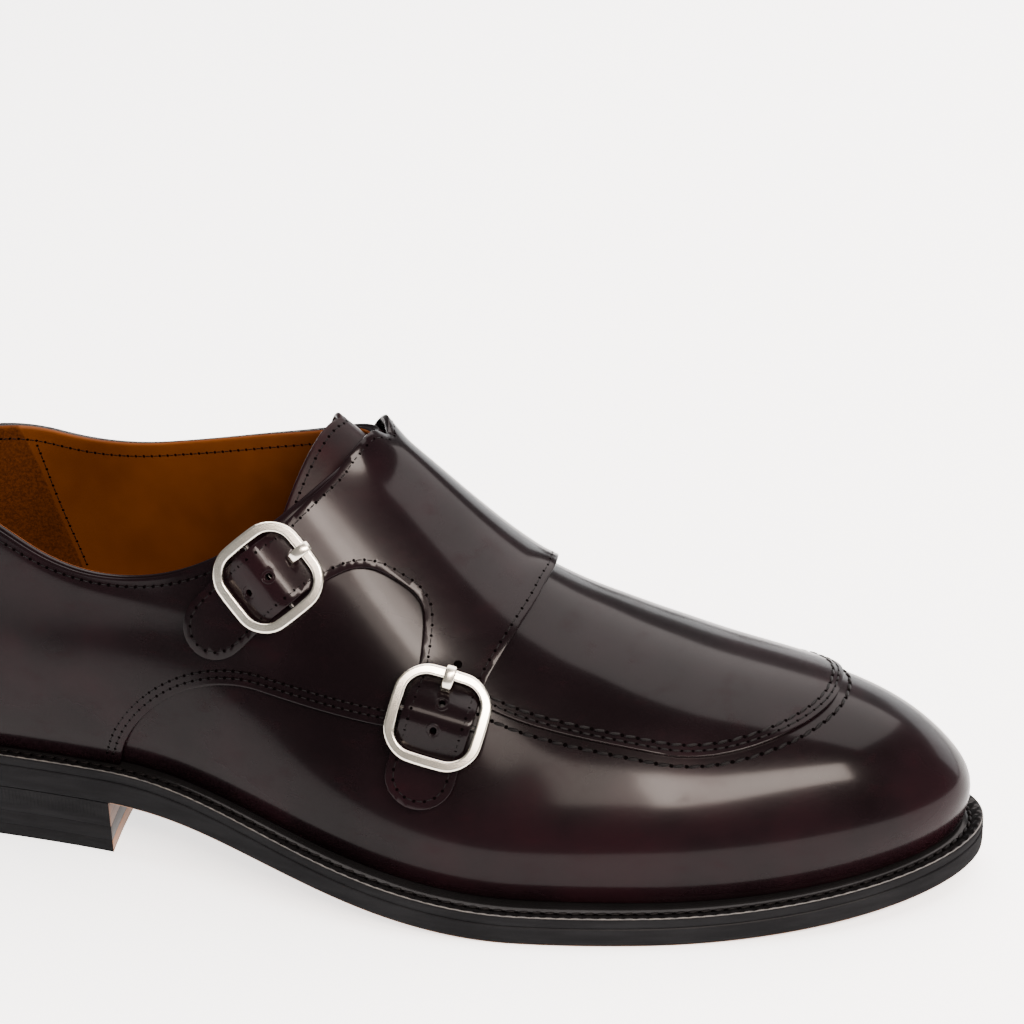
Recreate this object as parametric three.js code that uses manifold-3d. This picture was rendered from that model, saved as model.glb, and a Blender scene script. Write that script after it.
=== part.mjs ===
// Double monk strap shoe for the right foot, standing empty on its sole.
// Millimetres, +Z up, toe towards +X, inner (big toe) side towards +Y.
import * as THREE from 'three';
import { mergeVertices } from 'three/addons/utils/BufferGeometryUtils.js';
import Module from 'manifold-3d';

const wasm = await Module();
wasm.setup();

// Driving sizes of the sole
const soleLength = 305;
const ballWidth = 106.8;
const heelWidth = 70;
const heelRadius = 34; // round of the heel in plan
const toeReach = 141; // how far back from the tip the forepart starts to narrow
const breastX = 74; // front face of the heel
const waistEnd = 190; // where the waist comes down to the ground
const springStart = 225; // where the toe starts to rise
const toeSpring = 6.5;

// Thicknesses from the ground up
const topPieceThick = 3.6;
const liftThick = 4.2;
const stackThick = 7.3;
const outsoleThick = 5.5;
const outsoleHeelThick = 7.1;
const outsoleThinFrom = 150; // forward of here it has its forepart thickness
const weltThick = 2.6;
const insoleThick = 3;
const seatGap = 0.3; // clearance between pieces that rest on each other
const layGap = 0.5; // clearance under a curved panel

// Edges in plan
const heelInset = 1.2; // heel blocks inside the sole edge
const heelTaper = 0.5; // how much each heel layer steps in towards the ground
const weltInset = 0.5;
const weltWidth = 14;
const edgeRound = 0.7;
const breastHollow = 3;

// The last: the form that the upper was pulled over
const toeInset = 3.5; // last inside the sole at toe and heel back
const instepRise = 97; // ridge over the feather line at the throat
const toeDepth = 46;
const toeCapLength = 64;
const backHeight = 73; // topline over the feather line at the heel back
const backLean = 11;
const leanStart = 26; // height where the back starts to lean
const counterBulge = 3; // swell of the counter to each side
const counterBack = 3.5; // and backwards
const counterHeight = 24;
const counterSpread = 17;
const counterFull = 40; // the counter is full up to here and has faded out at its end
const counterEnd = 150;
const wallSwell = 1.6; // swell of the wall over the welt, forward of the waist
const wallSwellHeight = 18;
const wallSwellSpread = 11;
const wallSwellStart = 90;
const wallSwellFull = 200;
const toeSwell = 1.2;
const toeSwellHeight = 14;
const toeSwellSpread = 8;
const backSet = 0.5; // heel back of the last, moved forward
const featherTuck = 2.2;
const featherTuckHeight = 14;

// Powers that shape the curves above
const springPower = 1.8;
const toePlanPower = 2.35;
const toePlanRound = 1.95;
const toeCapPower = 2.2;
const leanPower = 1.6;
const ridgePower = 1.3;

// Leather
const wall = 2; // upper with its lining
const overlayThick = 1.2;
const strapThick = 1.6;
const tongueThick = 1.6;

// Opening, panels and straps
const throatX = 139; // front of the opening on the ridge
const quarterStart = 77; // where the quarter's edge leaves the sole
const quarterReach = 43;
const quarterHeight = 36;
const quarterFront = 160;
const apronBack = 168;
const apronShoulder = 222; // where the apron's front starts to round
const apronTip = 265;
const apronHalfGirth = 0.55; // share of the way from the ridge to the feather
const tongueBack = 131;
const tongueFront = 168;
const tongueHalfGirth = 0.46;
const tongueSweep = 9; // how far the tongue's corners lie behind its middle
const cuffBack = 137;
const cuffFront = 186;
const strapWidth = 18;
const crestRide = 1.05; // strap over the centre bar, at the crest of its rise
const crestFade = 6; // how fast the rise fades beside the strap
const strapCrest = 6.5; // how far the strap's rise over the centre bar spreads

// Buckles
const buckleLength = 26; // along the strap
const buckleWidth = 27;
const buckleCorner = 8;
const buckleBar = 2.9;
const buckleThick = 2.2;
const centreBarThick = 2.2;
const barSeat = 0.2; // centre bar over the leather below it
const barShoulder = 0.8; // what the centre bar's two ends take of the room inside the frame
const buckleRide = 0.95; // frame over the strap, which bends more than the frame does
const prongWidth = 2;
const prongThick = 1.5;
const prongRide = 0.5; // prong over the strap and the frame
const prongFallStart = 0.2; // it comes down from the strap's crest to the frame between these shares
const prongFallEnd = 0.9;
const buckleEase = 0.5; // eased edges

// Sections in plan, heel back to toe: heel and ball as shares of the two half widths, middle and
// inset (the last inside the sole) as shares of the ball width
const planRows = [
  { heel: 1.00, ball: 0.00, middle: -0.010, inset: 0.042 },
  { heel: 0.99, ball: 0.00, middle: -0.017, inset: 0.042 },
  { heel: 0.985, ball: 0.00, middle: -0.033, inset: 0.042 },
  { heel: 0.70, ball: 0.17, middle: -0.075, inset: 0.042 },
  { heel: 0.35, ball: 0.47, middle: -0.138, inset: 0.047 },
  { heel: 0.10, ball: 0.80, middle: -0.130, inset: 0.052 },
  { heel: 0.00, ball: 0.975, middle: -0.080, inset: 0.056 },
  { heel: 0.00, ball: 1.00, middle: -0.040, inset: 0.056 },
  { heel: 0.00, ball: 1.00, middle: -0.010, inset: 0.056 },
  { heel: 0.00, ball: 1.00, middle: 0.022, inset: 0.056 },
  { heel: 0.00, ball: 1.00, middle: 0.062, inset: 0.056 },
];
// The same sections upright: instep and toe as shares of the two heights, ridge as a share of the
// ball width, side and top as the powers that round the section
const uprightRows = [
  { instep: 1.34, toe: 0.00, ridge: 0.000, side: 2.20, top: 3.20 },
  { instep: 1.34, toe: 0.00, ridge: 0.010, side: 2.20, top: 3.20 },
  { instep: 1.32, toe: 0.00, ridge: 0.019, side: 2.20, top: 3.10 },
  { instep: 1.23, toe: 0.00, ridge: 0.028, side: 2.10, top: 2.50 },
  { instep: 1.10, toe: 0.00, ridge: 0.028, side: 1.90, top: 1.75 },
  { instep: 0.86, toe: 0.13, ridge: 0.028, side: 1.80, top: 1.50 },
  { instep: 0.455, toe: 0.55, ridge: 0.028, side: 1.95, top: 1.60 },
  { instep: 0.27, toe: 0.73, ridge: 0.023, side: 2.15, top: 1.85 },
  { instep: 0.08, toe: 0.91, ridge: 0.023, side: 2.30, top: 2.05 },
  { instep: 0.00, toe: 0.97, ridge: 0.037, side: 2.30, top: 2.10 },
  { instep: 0.00, toe: 0.955, ridge: 0.062, side: 2.20, top: 2.10 },
];

// Topline from the heel back to the throat: back as a share of the back height,
// throat as a share of the ridge, for the outer and the inner side
const topline = [
  { outerBack: 1.00, outerThroat: 0.000, innerBack: 1.000, innerThroat: 0.000 },
  { outerBack: 0.96, outerThroat: 0.000, innerBack: 0.965, innerThroat: 0.000 },
  { outerBack: 0.915, outerThroat: 0.000, innerBack: 0.930, innerThroat: 0.000 },
  { outerBack: 0.83, outerThroat: 0.000, innerBack: 0.870, innerThroat: 0.030 },
  { outerBack: 0.70, outerThroat: 0.080, innerBack: 0.700, innerThroat: 0.150 },
  { outerBack: 0.48, outerThroat: 0.255, innerBack: 0.460, innerThroat: 0.345 },
  { outerBack: 0.25, outerThroat: 0.490, innerBack: 0.220, innerThroat: 0.575 },
  { outerBack: 0.08, outerThroat: 0.730, innerBack: 0.060, innerThroat: 0.785 },
  { outerBack: 0.00, outerThroat: 1.000, innerBack: 0.000, innerThroat: 1.000 },
];

// Straps: where each runs, as place along the shoe and share round the section
// from the ridge (0) to the outer feather line (-1)
const straps = [
  { name: 'rear', rootX: 131, rootTurn: -0.434, tipX: 101, tipTurn: -0.80, buckle: 0.345 },
  { name: 'front', rootX: 168.8, rootTurn: -0.44, tipX: 161.8, tipTurn: -0.775, buckle: 0.40 },
];

const clamp01 = (t) => Math.min(Math.max(t, 0), 1);
const smooth = (a, b, x) => {
  const t = clamp01((x - a) / (b - a));
  return t * t * (3 - 2 * t);
};
const bump = (x, centre, spread) => Math.exp(-(((x - centre) / spread) ** 2));

// Smooth curve through a table's column (uniform cubic B-spline)
function column(table, key, t) {
  const last = table.length - 1;
  const place = clamp01(t) * last;
  const i = Math.min(Math.floor(place), last - 1);
  const f = place - i;
  const at = (k) => {
    if (k < 0) return 2 * table[0][key] - table[1][key];
    if (k > last) return 2 * table[last][key] - table[last - 1][key];
    return table[k][key];
  };
  const weights = [
    (1 - f) ** 3,
    3 * f ** 3 - 6 * f ** 2 + 4,
    -3 * f ** 3 + 3 * f ** 2 + 3 * f + 1,
    f ** 3,
  ];
  return weights.reduce((sum, w, k) => sum + w * at(i - 1 + k), 0) / 6;
}
const section = (key, x) => column(key in planRows[0] ? planRows : uprightRows, key, x / soleLength);

// Plan of the sole
const heelHeight = topPieceThick + liftThick + stackThick + 3 * seatGap;
const bareHalf = (x) => (heelWidth / 2) * section('heel', x) + (ballWidth / 2) * section('ball', x);
const middle = (x) => ballWidth * section('middle', x);
function endCaps(x, inset) {
  const a = clamp01((x - inset) / (heelRadius - inset));
  const tau = clamp01((x - soleLength + toeReach) / (toeReach - inset));
  return Math.sqrt(1 - (1 - a) ** 2) * (1 - tau ** toePlanPower) ** (1 / toePlanRound);
}
function groundZ(x) {
  const waist = smooth(waistEnd, breastX, x) * heelHeight;
  return waist + toeSpring * clamp01((x - springStart) / (soleLength - springStart)) ** springPower;
}
const outsoleAt = (x) => (
  outsoleThick + (outsoleHeelThick - outsoleThick) * smooth(outsoleThinFrom, breastX, x)
);
const outsoleTop = (x) => groundZ(x) + outsoleAt(x);
const weltTop = (x) => outsoleTop(x) + seatGap + weltThick;
const featherZ = (x) => weltTop(x) + seatGap;

// The last's section in its own upright frame: half width, ridge height, powers
function lastSection(x) {
  const tau = clamp01((x - soleLength + toeInset + toeCapLength) / toeCapLength);
  const ridge = instepRise * section('instep', x) + toeDepth * section('toe', x);
  return {
    caps: endCaps(x, toeInset),
    half: bareHalf(x) - ballWidth * section('inset', x),
    rise: ridge * Math.sqrt(1 - tau ** toeCapPower),
    side: section('side', x),
    top: section('top', x),
  };
}

// From the upright frame (place, sideways, height) to the real bent form
function bend(x, q, h) {
  const s = lastSection(x);
  const lean = clamp01(h / Math.max(s.rise, 1e-6)) ** ridgePower;
  const centre = middle(x) + (ballWidth * section('ridge', x) - middle(x)) * lean;
  const nearBack = 1 - smooth(0, breastX, x);
  const nearToe = smooth(springStart, soleLength - toeInset, x);
  const tuck = featherTuck * clamp01(1 - h / featherTuckHeight) ** 2;
  const counter = bump(h, counterHeight, counterSpread);
  const forward = smooth(wallSwellStart, wallSwellFull, x) * s.caps;
  const low = wallSwell * bump(h, wallSwellHeight, wallSwellSpread) * forward;
  const bulge = counterBulge * counter * (1 - smooth(counterFull, counterEnd, x)) + low;
  const leaning = backLean * clamp01((h - leanStart) / (backHeight - leanStart)) ** leanPower;
  const back = leaning - counterBack * counter + backSet + tuck;
  const toe = toeSwell * bump(h, toeSwellHeight, toeSwellSpread) - tuck;
  return new THREE.Vector3(
    x + back * nearBack + toe * nearToe,
    centre + q * (1 + (bulge - tuck) / s.half),
    featherZ(x) + h,
  );
}

// A point on the last by place along and turn round the section, -1 outer to 1 inner feather
function lastPoint(x, turn) {
  const s = lastSection(x);
  const angle = (1 - Math.abs(turn)) * Math.PI / 2;
  const q = Math.sign(turn) * s.half * s.caps * Math.cos(angle) ** (2 / s.side);
  return bend(x, q, s.rise * Math.sin(angle) ** (2 / s.top));
}
function lastNormal(x, turn) {
  const dx = 0.5;
  const dt = 0.004;
  const along = lastPoint(x + dx, turn).sub(lastPoint(x - dx, turn));
  const round = lastPoint(x, turn + dt).sub(lastPoint(x, turn - dt));
  return round.cross(along).normalize().negate();
}
const lastOffset = (x, turn, off) => lastPoint(x, turn).addScaledVector(lastNormal(x, turn), off);

// Ribs run from the feather line to the topline, all round the shoe
const backX = toeInset;
const tipX = soleLength - toeInset;
function toplineShare(x, side) {
  const e = (x - backX) / (throatX - backX);
  const who = side < 0 ? 'outer' : 'inner';
  const backShare = backHeight / (instepRise * uprightRows[0].instep);
  return Math.min(backShare * column(topline, who + 'Back', e) + column(topline, who + 'Throat', e), 1);
}
function upright(x, side, share) {
  const s = lastSection(x);
  const q = s.half * s.caps * (1 - Math.min(share, 1) ** s.top) ** (1 / s.side);
  return new THREE.Vector3(x, side * q, share * s.rise);
}
const kneeAlong = 0.8; // the rib's bend lies this far towards its foot
const kneeOut = 1.1;
const kneeHeight = 0.62;
const spineBack = 36; // ribs are cast out from a spine between these two places
const spineFront = 235;
const halvings = 40;
function ribPoint(run, v) {
  // run goes 0..1 from the heel back to the toe on the outer side, 1..2 back on the inner
  const side = run <= 1 ? -1 : 1;
  const along = run <= 1 ? run : 2 - run;
  const footX = backX + (tipX - backX) * (1 - Math.cos(Math.PI * along)) / 2;
  const headX = backX + (throatX - backX) * (1 - Math.cos(Math.PI * along ** 0.75)) / 2;
  const foot = upright(footX, side, 0);
  const head = upright(headX, side, toplineShare(headX, side));
  const kneeX = headX + (footX - headX) * kneeAlong;
  const knee = new THREE.Vector3(kneeX, foot.y * kneeOut, head.z * kneeHeight);
  if (v <= 0) return foot;
  if (v >= 1) return head;
  const guide = foot.clone().multiplyScalar((1 - v) ** 2);
  guide.addScaledVector(knee, 2 * v * (1 - v)).addScaledVector(head, v * v);
  const axis = new THREE.Vector3(Math.min(Math.max(guide.x, spineBack), spineFront), 0, 0);
  const ray = guide.clone().sub(axis);
  const outside = (t) => {
    const p = axis.clone().addScaledVector(ray, t);
    if (p.x <= backX || p.x >= tipX) return true;
    const s = lastSection(p.x);
    const width = Math.max(s.half * s.caps, 1e-6);
    return (Math.abs(p.y) / width) ** s.side + (p.z / Math.max(s.rise, 1e-6)) ** s.top > 1;
  };
  let low = 0;
  let high = 4;
  for (let i = 0; i < halvings; i += 1) {
    const t = (low + high) / 2;
    if (outside(t)) high = t;
    else low = t;
  }
  return axis.addScaledVector(ray, low);
}

// Mesh helpers
function solid(points, faces) {
  const geometry = new THREE.BufferGeometry();
  const positions = new Float32Array(points.length * 3);
  points.forEach((p, i) => positions.set([p.x, p.y, p.z], 3 * i));
  geometry.setAttribute('position', new THREE.BufferAttribute(positions, 3));
  geometry.setIndex(faces);
  return geometry;
}
// A shell between two sheets of points, each a list of rows; wrap joins last row to first
function shell(outer, inner, wrap = false) {
  const rows = outer.length;
  const cols = outer[0].length;
  const points = [...outer.flat(), ...inner.flat()];
  const at = (sheet, i, j) => sheet * rows * cols + (i % rows) * cols + j;
  const faces = [];
  const quad = (a, b, c, d) => faces.push(a, b, c, a, c, d);
  const spans = wrap ? rows : rows - 1;
  for (let i = 0; i < spans; i += 1) {
    for (let j = 0; j < cols - 1; j += 1) {
      quad(at(0, i, j), at(0, i + 1, j), at(0, i + 1, j + 1), at(0, i, j + 1));
      quad(at(1, i, j), at(1, i, j + 1), at(1, i + 1, j + 1), at(1, i + 1, j));
    }
    quad(at(0, i, 0), at(1, i, 0), at(1, i + 1, 0), at(0, i + 1, 0));
    quad(at(0, i + 1, cols - 1), at(1, i + 1, cols - 1), at(1, i, cols - 1), at(0, i, cols - 1));
  }
  if (!wrap) {
    for (let j = 0; j < cols - 1; j += 1) {
      quad(at(0, 0, j), at(0, 0, j + 1), at(1, 0, j + 1), at(1, 0, j));
      const end = rows - 1;
      quad(at(0, end, j), at(1, end, j), at(1, end, j + 1), at(0, end, j + 1));
    }
  }
  return solid(points, faces);
}
// A stack of closed loops, capped by strips from side to side
function stack(loops) {
  const n = loops[0].length;
  const faces = [];
  for (let k = 0; k < loops.length - 1; k += 1) {
    for (let i = 0; i < n; i += 1) {
      const a = k * n + i;
      const b = k * n + (i + 1) % n;
      faces.push(a, b, b + n, a, b + n, a + n);
    }
  }
  const topStart = (loops.length - 1) * n;
  for (let i = 0; i < n / 2; i += 1) {
    const ring = [i, i + 1, n - 1 - i, (n - i) % n];
    const [a, b, c, d] = ring;
    if (c !== b) faces.push(a, c, b);
    if (d !== a) faces.push(a, d, c);
    if (c !== b) faces.push(topStart + a, topStart + b, topStart + c);
    if (d !== a) faces.push(topStart + a, topStart + c, topStart + d);
  }
  return solid(loops.flat(), faces);
}
function toManifold(geometry) {
  const plain = geometry.clone();
  plain.deleteAttribute('normal');
  plain.deleteAttribute('uv');
  const merged = mergeVertices(plain, 1e-4);
  return new wasm.Manifold(new wasm.Mesh({
    numProp: 3,
    vertProperties: new Float32Array(merged.attributes.position.array),
    triVerts: new Uint32Array(merged.index.array),
  }));
}
function fromManifold(body) {
  const mesh = body.getMesh();
  const geometry = new THREE.BufferGeometry();
  geometry.setAttribute('position', new THREE.BufferAttribute(mesh.vertProperties, 3));
  geometry.setIndex(new THREE.BufferAttribute(mesh.triVerts, 1));
  return geometry;
}

// Closed plan outline of the sole, counter-clockwise from the heel back, moved in by an inset
const outlineSteps = 32;
function soleOutline(inset) {
  const raw = [];
  for (let i = 0; i < 2 * outlineSteps; i += 1) {
    const side = i <= outlineSteps ? -1 : 1;
    const run = i <= outlineSteps ? i / outlineSteps : 2 - i / outlineSteps;
    const x = soleLength * (1 - Math.cos(Math.PI * run)) / 2;
    raw.push(new THREE.Vector2(x, middle(x) + side * bareHalf(x) * endCaps(x, 0)));
  }
  return raw.map((p, i) => {
    const before = raw[(i + raw.length - 1) % raw.length];
    const after = raw[(i + 1) % raw.length];
    const way = after.clone().sub(before).normalize();
    return new THREE.Vector2(p.x - way.y * inset, p.y + way.x * inset);
  });
}
const loopAt = (outline, z) => outline.map((p) => new THREE.Vector3(p.x, p.y, z(p.x)));

function outsole() {
  const edge = soleOutline(0);
  const eased = soleOutline(edgeRound);
  return stack([
    loopAt(eased, groundZ),
    loopAt(edge, (x) => groundZ(x) + edgeRound),
    loopAt(edge, (x) => outsoleTop(x) - edgeRound / 2),
    loopAt(soleOutline(edgeRound / 2), outsoleTop),
  ]);
}
function welt() {
  const outer = soleOutline(weltInset);
  const crest = soleOutline(weltInset + edgeRound / 2);
  const inner = soleOutline(weltWidth);
  const low = (x) => outsoleTop(x) + seatGap;
  const rows = (i) => [
    new THREE.Vector3(outer[i].x, outer[i].y, low(outer[i].x)),
    new THREE.Vector3(crest[i].x, crest[i].y, weltTop(crest[i].x)),
  ];
  const inside = (i) => [
    new THREE.Vector3(inner[i].x, inner[i].y, low(inner[i].x)),
    new THREE.Vector3(inner[i].x, inner[i].y, weltTop(inner[i].x)),
  ];
  return shell(outer.map((p, i) => rows(i)), outer.map((p, i) => inside(i)), true);
}
// One layer of the heel, from its height above the ground, its thickness and its inset
const heelSteps = 12;
const breastSteps = 8;
function heelLayer(low, thick, inset) {
  const loop = (z, extra) => {
    const back = inset + extra;
    const points = [];
    for (let i = 0; i <= 2 * heelSteps; i += 1) {
      const side = i <= heelSteps ? 1 : -1;
      const run = Math.abs(heelSteps - i) / heelSteps;
      const x = back + (breastX - back) * (1 - Math.cos(Math.PI / 2 * run));
      const width = Math.max(bareHalf(x) * endCaps(x, back) - back, 0);
      points.push(new THREE.Vector3(x, middle(x) + side * width, z));
    }
    // the breast is hollowed across its width
    const [start, end] = [points[0], points[points.length - 1]];
    for (let k = 1; k < breastSteps; k += 1) {
      const across = end.clone().lerp(start, k / breastSteps);
      across.x -= breastHollow * Math.sin(Math.PI * k / breastSteps);
      points.push(across);
    }
    return points;
  };
  const loops = [loop(low, heelTaper), loop(low + thick, 0)];
  const flat = loops[1].map((p) => new THREE.Vector2(p.x, p.y));
  const n = flat.length;
  const faces = [];
  for (let i = 0; i < n; i += 1) {
    const j = (i + 1) % n;
    faces.push(i, j, j + n, i, j + n, i + n);
  }
  for (const [a, b, c] of THREE.ShapeUtils.triangulateShape(flat, [])) {
    faces.push(a, c, b, a + n, b + n, c + n);
  }
  return solid(loops.flat(), faces);
}

// The upper: one hollow wall from the feather line to the topline
const ribCount = 60;
const ribRows = 13;
const quarterRows = 8;
const nudge = 0.004; // step along a rib for its normals
// rows lie closer together towards the topline, where the toe's ribs are long
const crowding = 0.3;
const spread = (t) => t * (1 + crowding - crowding * t);
function ribSheets(runs, startOf, rows, outerOff, innerOff) {
  const real = (run, v) => {
    const p = ribPoint(((run % 2) + 2) % 2, clamp01(v));
    return bend(p.x, p.y, p.z);
  };
  const sheet = (off, grounded) => runs.map((run) => {
    const start = startOf(run);
    return Array.from({ length: rows + 1 }, (_, j) => {
      const v = start + (1 - start) * spread(j / rows);
      const here = real(run, v);
      const up = real(run, Math.min(v + nudge, 1)).sub(real(run, Math.max(v - nudge, 0)));
      const on = real(run + nudge, v).sub(real(run - nudge, v));
      const normal = on.cross(up).normalize();
      const point = here.clone().addScaledVector(normal, off);
      if (grounded && v === 0) point.z = here.z;
      return point;
    });
  });
  return [sheet(outerOff, true), sheet(innerOff, true)];
}
function upper() {
  const runs = Array.from({ length: ribCount }, (_, i) => 2 * i / ribCount);
  const [outer, inner] = ribSheets(runs, () => 0, ribRows, 0, -wall);
  return shell(outer, inner, true);
}
// The quarters lie over the upper from the topline down to a curved edge
const quarterClimb = 1.8;
const quarterRound = 0.62;
const quarterSlope = 0.055; // climb of the edge's straight run towards the toe
const quarterEdge = (x) => {
  const crest = quarterStart + quarterReach;
  const t = clamp01((crest - x) / quarterReach);
  return quarterHeight * (1 - t ** quarterClimb) ** quarterRound + Math.max(x - crest, 0) * quarterSlope;
};
const highestMeet = 0.75; // no rib meets the edge above this share of its length
function quarterMeets(run) {
  const inside = (v) => {
    const p = ribPoint(run, v);
    return p.x < quarterStart || p.z > quarterEdge(p.x);
  };
  if (inside(0)) return 0;
  let low = 0;
  let high = highestMeet;
  for (let i = 0; i < halvings; i += 1) {
    const v = (low + high) / 2;
    if (inside(v)) high = v;
    else low = v;
  }
  return high;
}
const steepClimb = 0.05;
function quarters() {
  // on the upper's own ribs, as far as the rib that meets the edge at the quarter's front
  const meetsAt = (k) => quarterMeets(2 * Math.abs(k) / ribCount);
  let half = 1;
  while (ribPoint(2 * half / ribCount, meetsAt(half)).x < quarterFront) half += 1;
  const runs = [];
  for (let k = half; k >= -half; k -= 1) {
    runs.push(2 + 2 * k / ribCount);
    // closer ribs where the edge climbs steeply
    if (k > -half && Math.abs(meetsAt(k) - meetsAt(k - 1)) > steepClimb) {
      [1, 2, 3].forEach((part) => runs.push(2 + 2 * (k - part / 4) / ribCount));
    }
  }
  const starts = runs.map((run) => quarterMeets(run > 2 ? run - 2 : run));
  const startOf = (run) => starts[runs.indexOf(run)];
  const [outer, inner] = ribSheets(runs, startOf, quarterRows, layGap + overlayThick, layGap);
  return shell(inner, outer);
}

// Panels laid over the last by place and turn
function panel(xs, turnsAt, lowOff, thick) {
  const sheet = (off) => xs.map((at) => turnsAt(at).map(([x, turn]) => lastOffset(x, turn, off(x, turn))));
  return shell(sheet((x, t) => lowOff(x, t) + thick), sheet(lowOff));
}
const even = (a, b, n) => Array.from({ length: n + 1 }, (_, i) => a + (b - a) * i / n);

const overlayTop = layGap + overlayThick;
const apronRound = 2.2; // power that rounds the apron's front
function apron() {
  const rows = even(0, 1, 12);
  const across = even(-1, 1, 16).map((a) => (a + Math.sin(a * Math.PI / 2)) / 2);
  const frontAt = (a) => (
    apronShoulder + (apronTip - apronShoulder) * Math.sqrt(1 - Math.abs(a) ** apronRound)
  );
  const cells = (b) => across.map((a) => [
    apronBack + (frontAt(a) - apronBack) * b,
    a * apronHalfGirth,
  ]);
  return panel(rows, (b) => cells(b), () => layGap, overlayThick);
}
function tongue() {
  const under = -wall - seatGap - tongueThick;
  const turns = even(-tongueHalfGirth, tongueHalfGirth, 14);
  const cells = (b) => turns.map((turn) => {
    const back = tongueBack - tongueSweep * (turn / tongueHalfGirth) ** 2;
    return [back + (tongueFront - back) * b, turn];
  });
  return panel(even(0, 1, 7), (b) => cells(b), () => under, tongueThick);
}

// Where a buckle sits and how it is turned: along the strap, across it and out of the leather
function strapPlace(strap, share) {
  return [
    strap.rootX + (strap.tipX - strap.rootX) * share,
    strap.rootTurn + (strap.tipTurn - strap.rootTurn) * share,
  ];
}
function strapFrame(strap, share) {
  const [x, turn] = strapPlace(strap, share);
  const origin = lastPoint(x, turn);
  const out = lastNormal(x, turn);
  const ahead = lastPoint(...strapPlace(strap, share + 0.01));
  const down = ahead.sub(lastPoint(...strapPlace(strap, share - 0.01)));
  down.addScaledVector(out, -down.dot(out)).normalize();
  const across = new THREE.Vector3().crossVectors(down, out);
  return { origin, out, down, across, x, turn };
}
// How the leather curves away under a buckle: across the strap, along it, and twisting
const curveReach = 10; // the leather is felt this far from the buckle's middle
function curving(frame) {
  const shift = (x, turn) => lastPoint(frame.x + x, frame.turn + turn).sub(frame.origin);
  const perX = shift(1, 0).sub(shift(-1, 0)).multiplyScalar(1 / 2);
  const perTurn = shift(0, 0.01).sub(shift(0, -0.01)).multiplyScalar(1 / 0.02);
  const [xa, ta] = [perX.dot(frame.across), perTurn.dot(frame.across)];
  const [xd, td] = [perX.dot(frame.down), perTurn.dot(frame.down)];
  const size = xa * td - ta * xd;
  const drop = (a, d) => {
    const [x, turn] = [(td * a - ta * d) / size, (xa * d - xd * a) / size];
    return -shift(x * curveReach, turn * curveReach).dot(frame.out) / curveReach ** 2;
  };
  return {
    across: (drop(1, 0) + drop(-1, 0)) / 2,
    along: (drop(0, 1) + drop(0, -1)) / 2,
    twist: (drop(1, 1) + drop(-1, -1) - drop(1, -1) - drop(-1, 1)) / 4,
  };
}
const strapLow = overlayTop + layGap;
const centreBarLow = strapLow + barSeat;
const strapLift = centreBarLow + centreBarThick + crestRide - strapLow;
const buckleLow = strapLow + strapThick + buckleRide;
const buckleFrames = straps.map((strap) => strapFrame(strap, strap.buckle));

// The strap rises over each centre bar
function strapOffset(x, turn) {
  const here = lastPoint(x, turn);
  return buckleFrames.reduce((lift, frame) => {
    const away = here.clone().sub(frame.origin);
    const along = away.dot(frame.down);
    const aside = Math.max(Math.abs(away.dot(frame.across)) - strapWidth / 2, 0);
    return Math.max(lift, strapLow + strapLift * bump(along, 0, strapCrest) * bump(aside, 0, crestFade));
  }, strapLow);
}
// Edges of the cuff's flap: how far forward of its back or front edge at the ridge, and the turn
const flapEdges = {
  outerBack: [
    { ahead: -1, turn: -0.10 },
    { ahead: -3.4, turn: -0.215 },
    { ahead: -6, turn: -0.30 },
  ],
  arch: [
    { ahead: 4, turn: -0.423 },
    { ahead: 13, turn: -0.387 },
    { ahead: 21, turn: -0.395 },
  ],
  outerFront: [
    { ahead: -6.2, turn: -0.36 },
    { ahead: -3.8, turn: -0.28 },
    { ahead: -1.5, turn: -0.18 },
    { ahead: -0.6, turn: -0.09 },
  ],
  innerBack: [
    { ahead: -3, turn: 0.20 },
    { ahead: -6, turn: 0.38 },
    { ahead: -7, turn: 0.55 },
    { ahead: -4, turn: 0.66 },
    { ahead: 4, turn: 0.70 },
  ],
  innerFront: [
    { ahead: -18, turn: 0.70 },
    { ahead: -9, turn: 0.65 },
    { ahead: -6, turn: 0.55 },
    { ahead: -4, turn: 0.38 },
    { ahead: -1.5, turn: 0.20 },
  ],
};
const tabStart = 0.8; // share of a strap where its round end starts
const armSteps = 5;
const tipSteps = 8;
const sideView = (p) => new THREE.Vector2(p.x, p.z);
const flapEdge = (edge, x) => flapEdges[edge].map((row) => (
  sideView(lastOffset(x + row.ahead, row.turn, strapLow))
));
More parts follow.
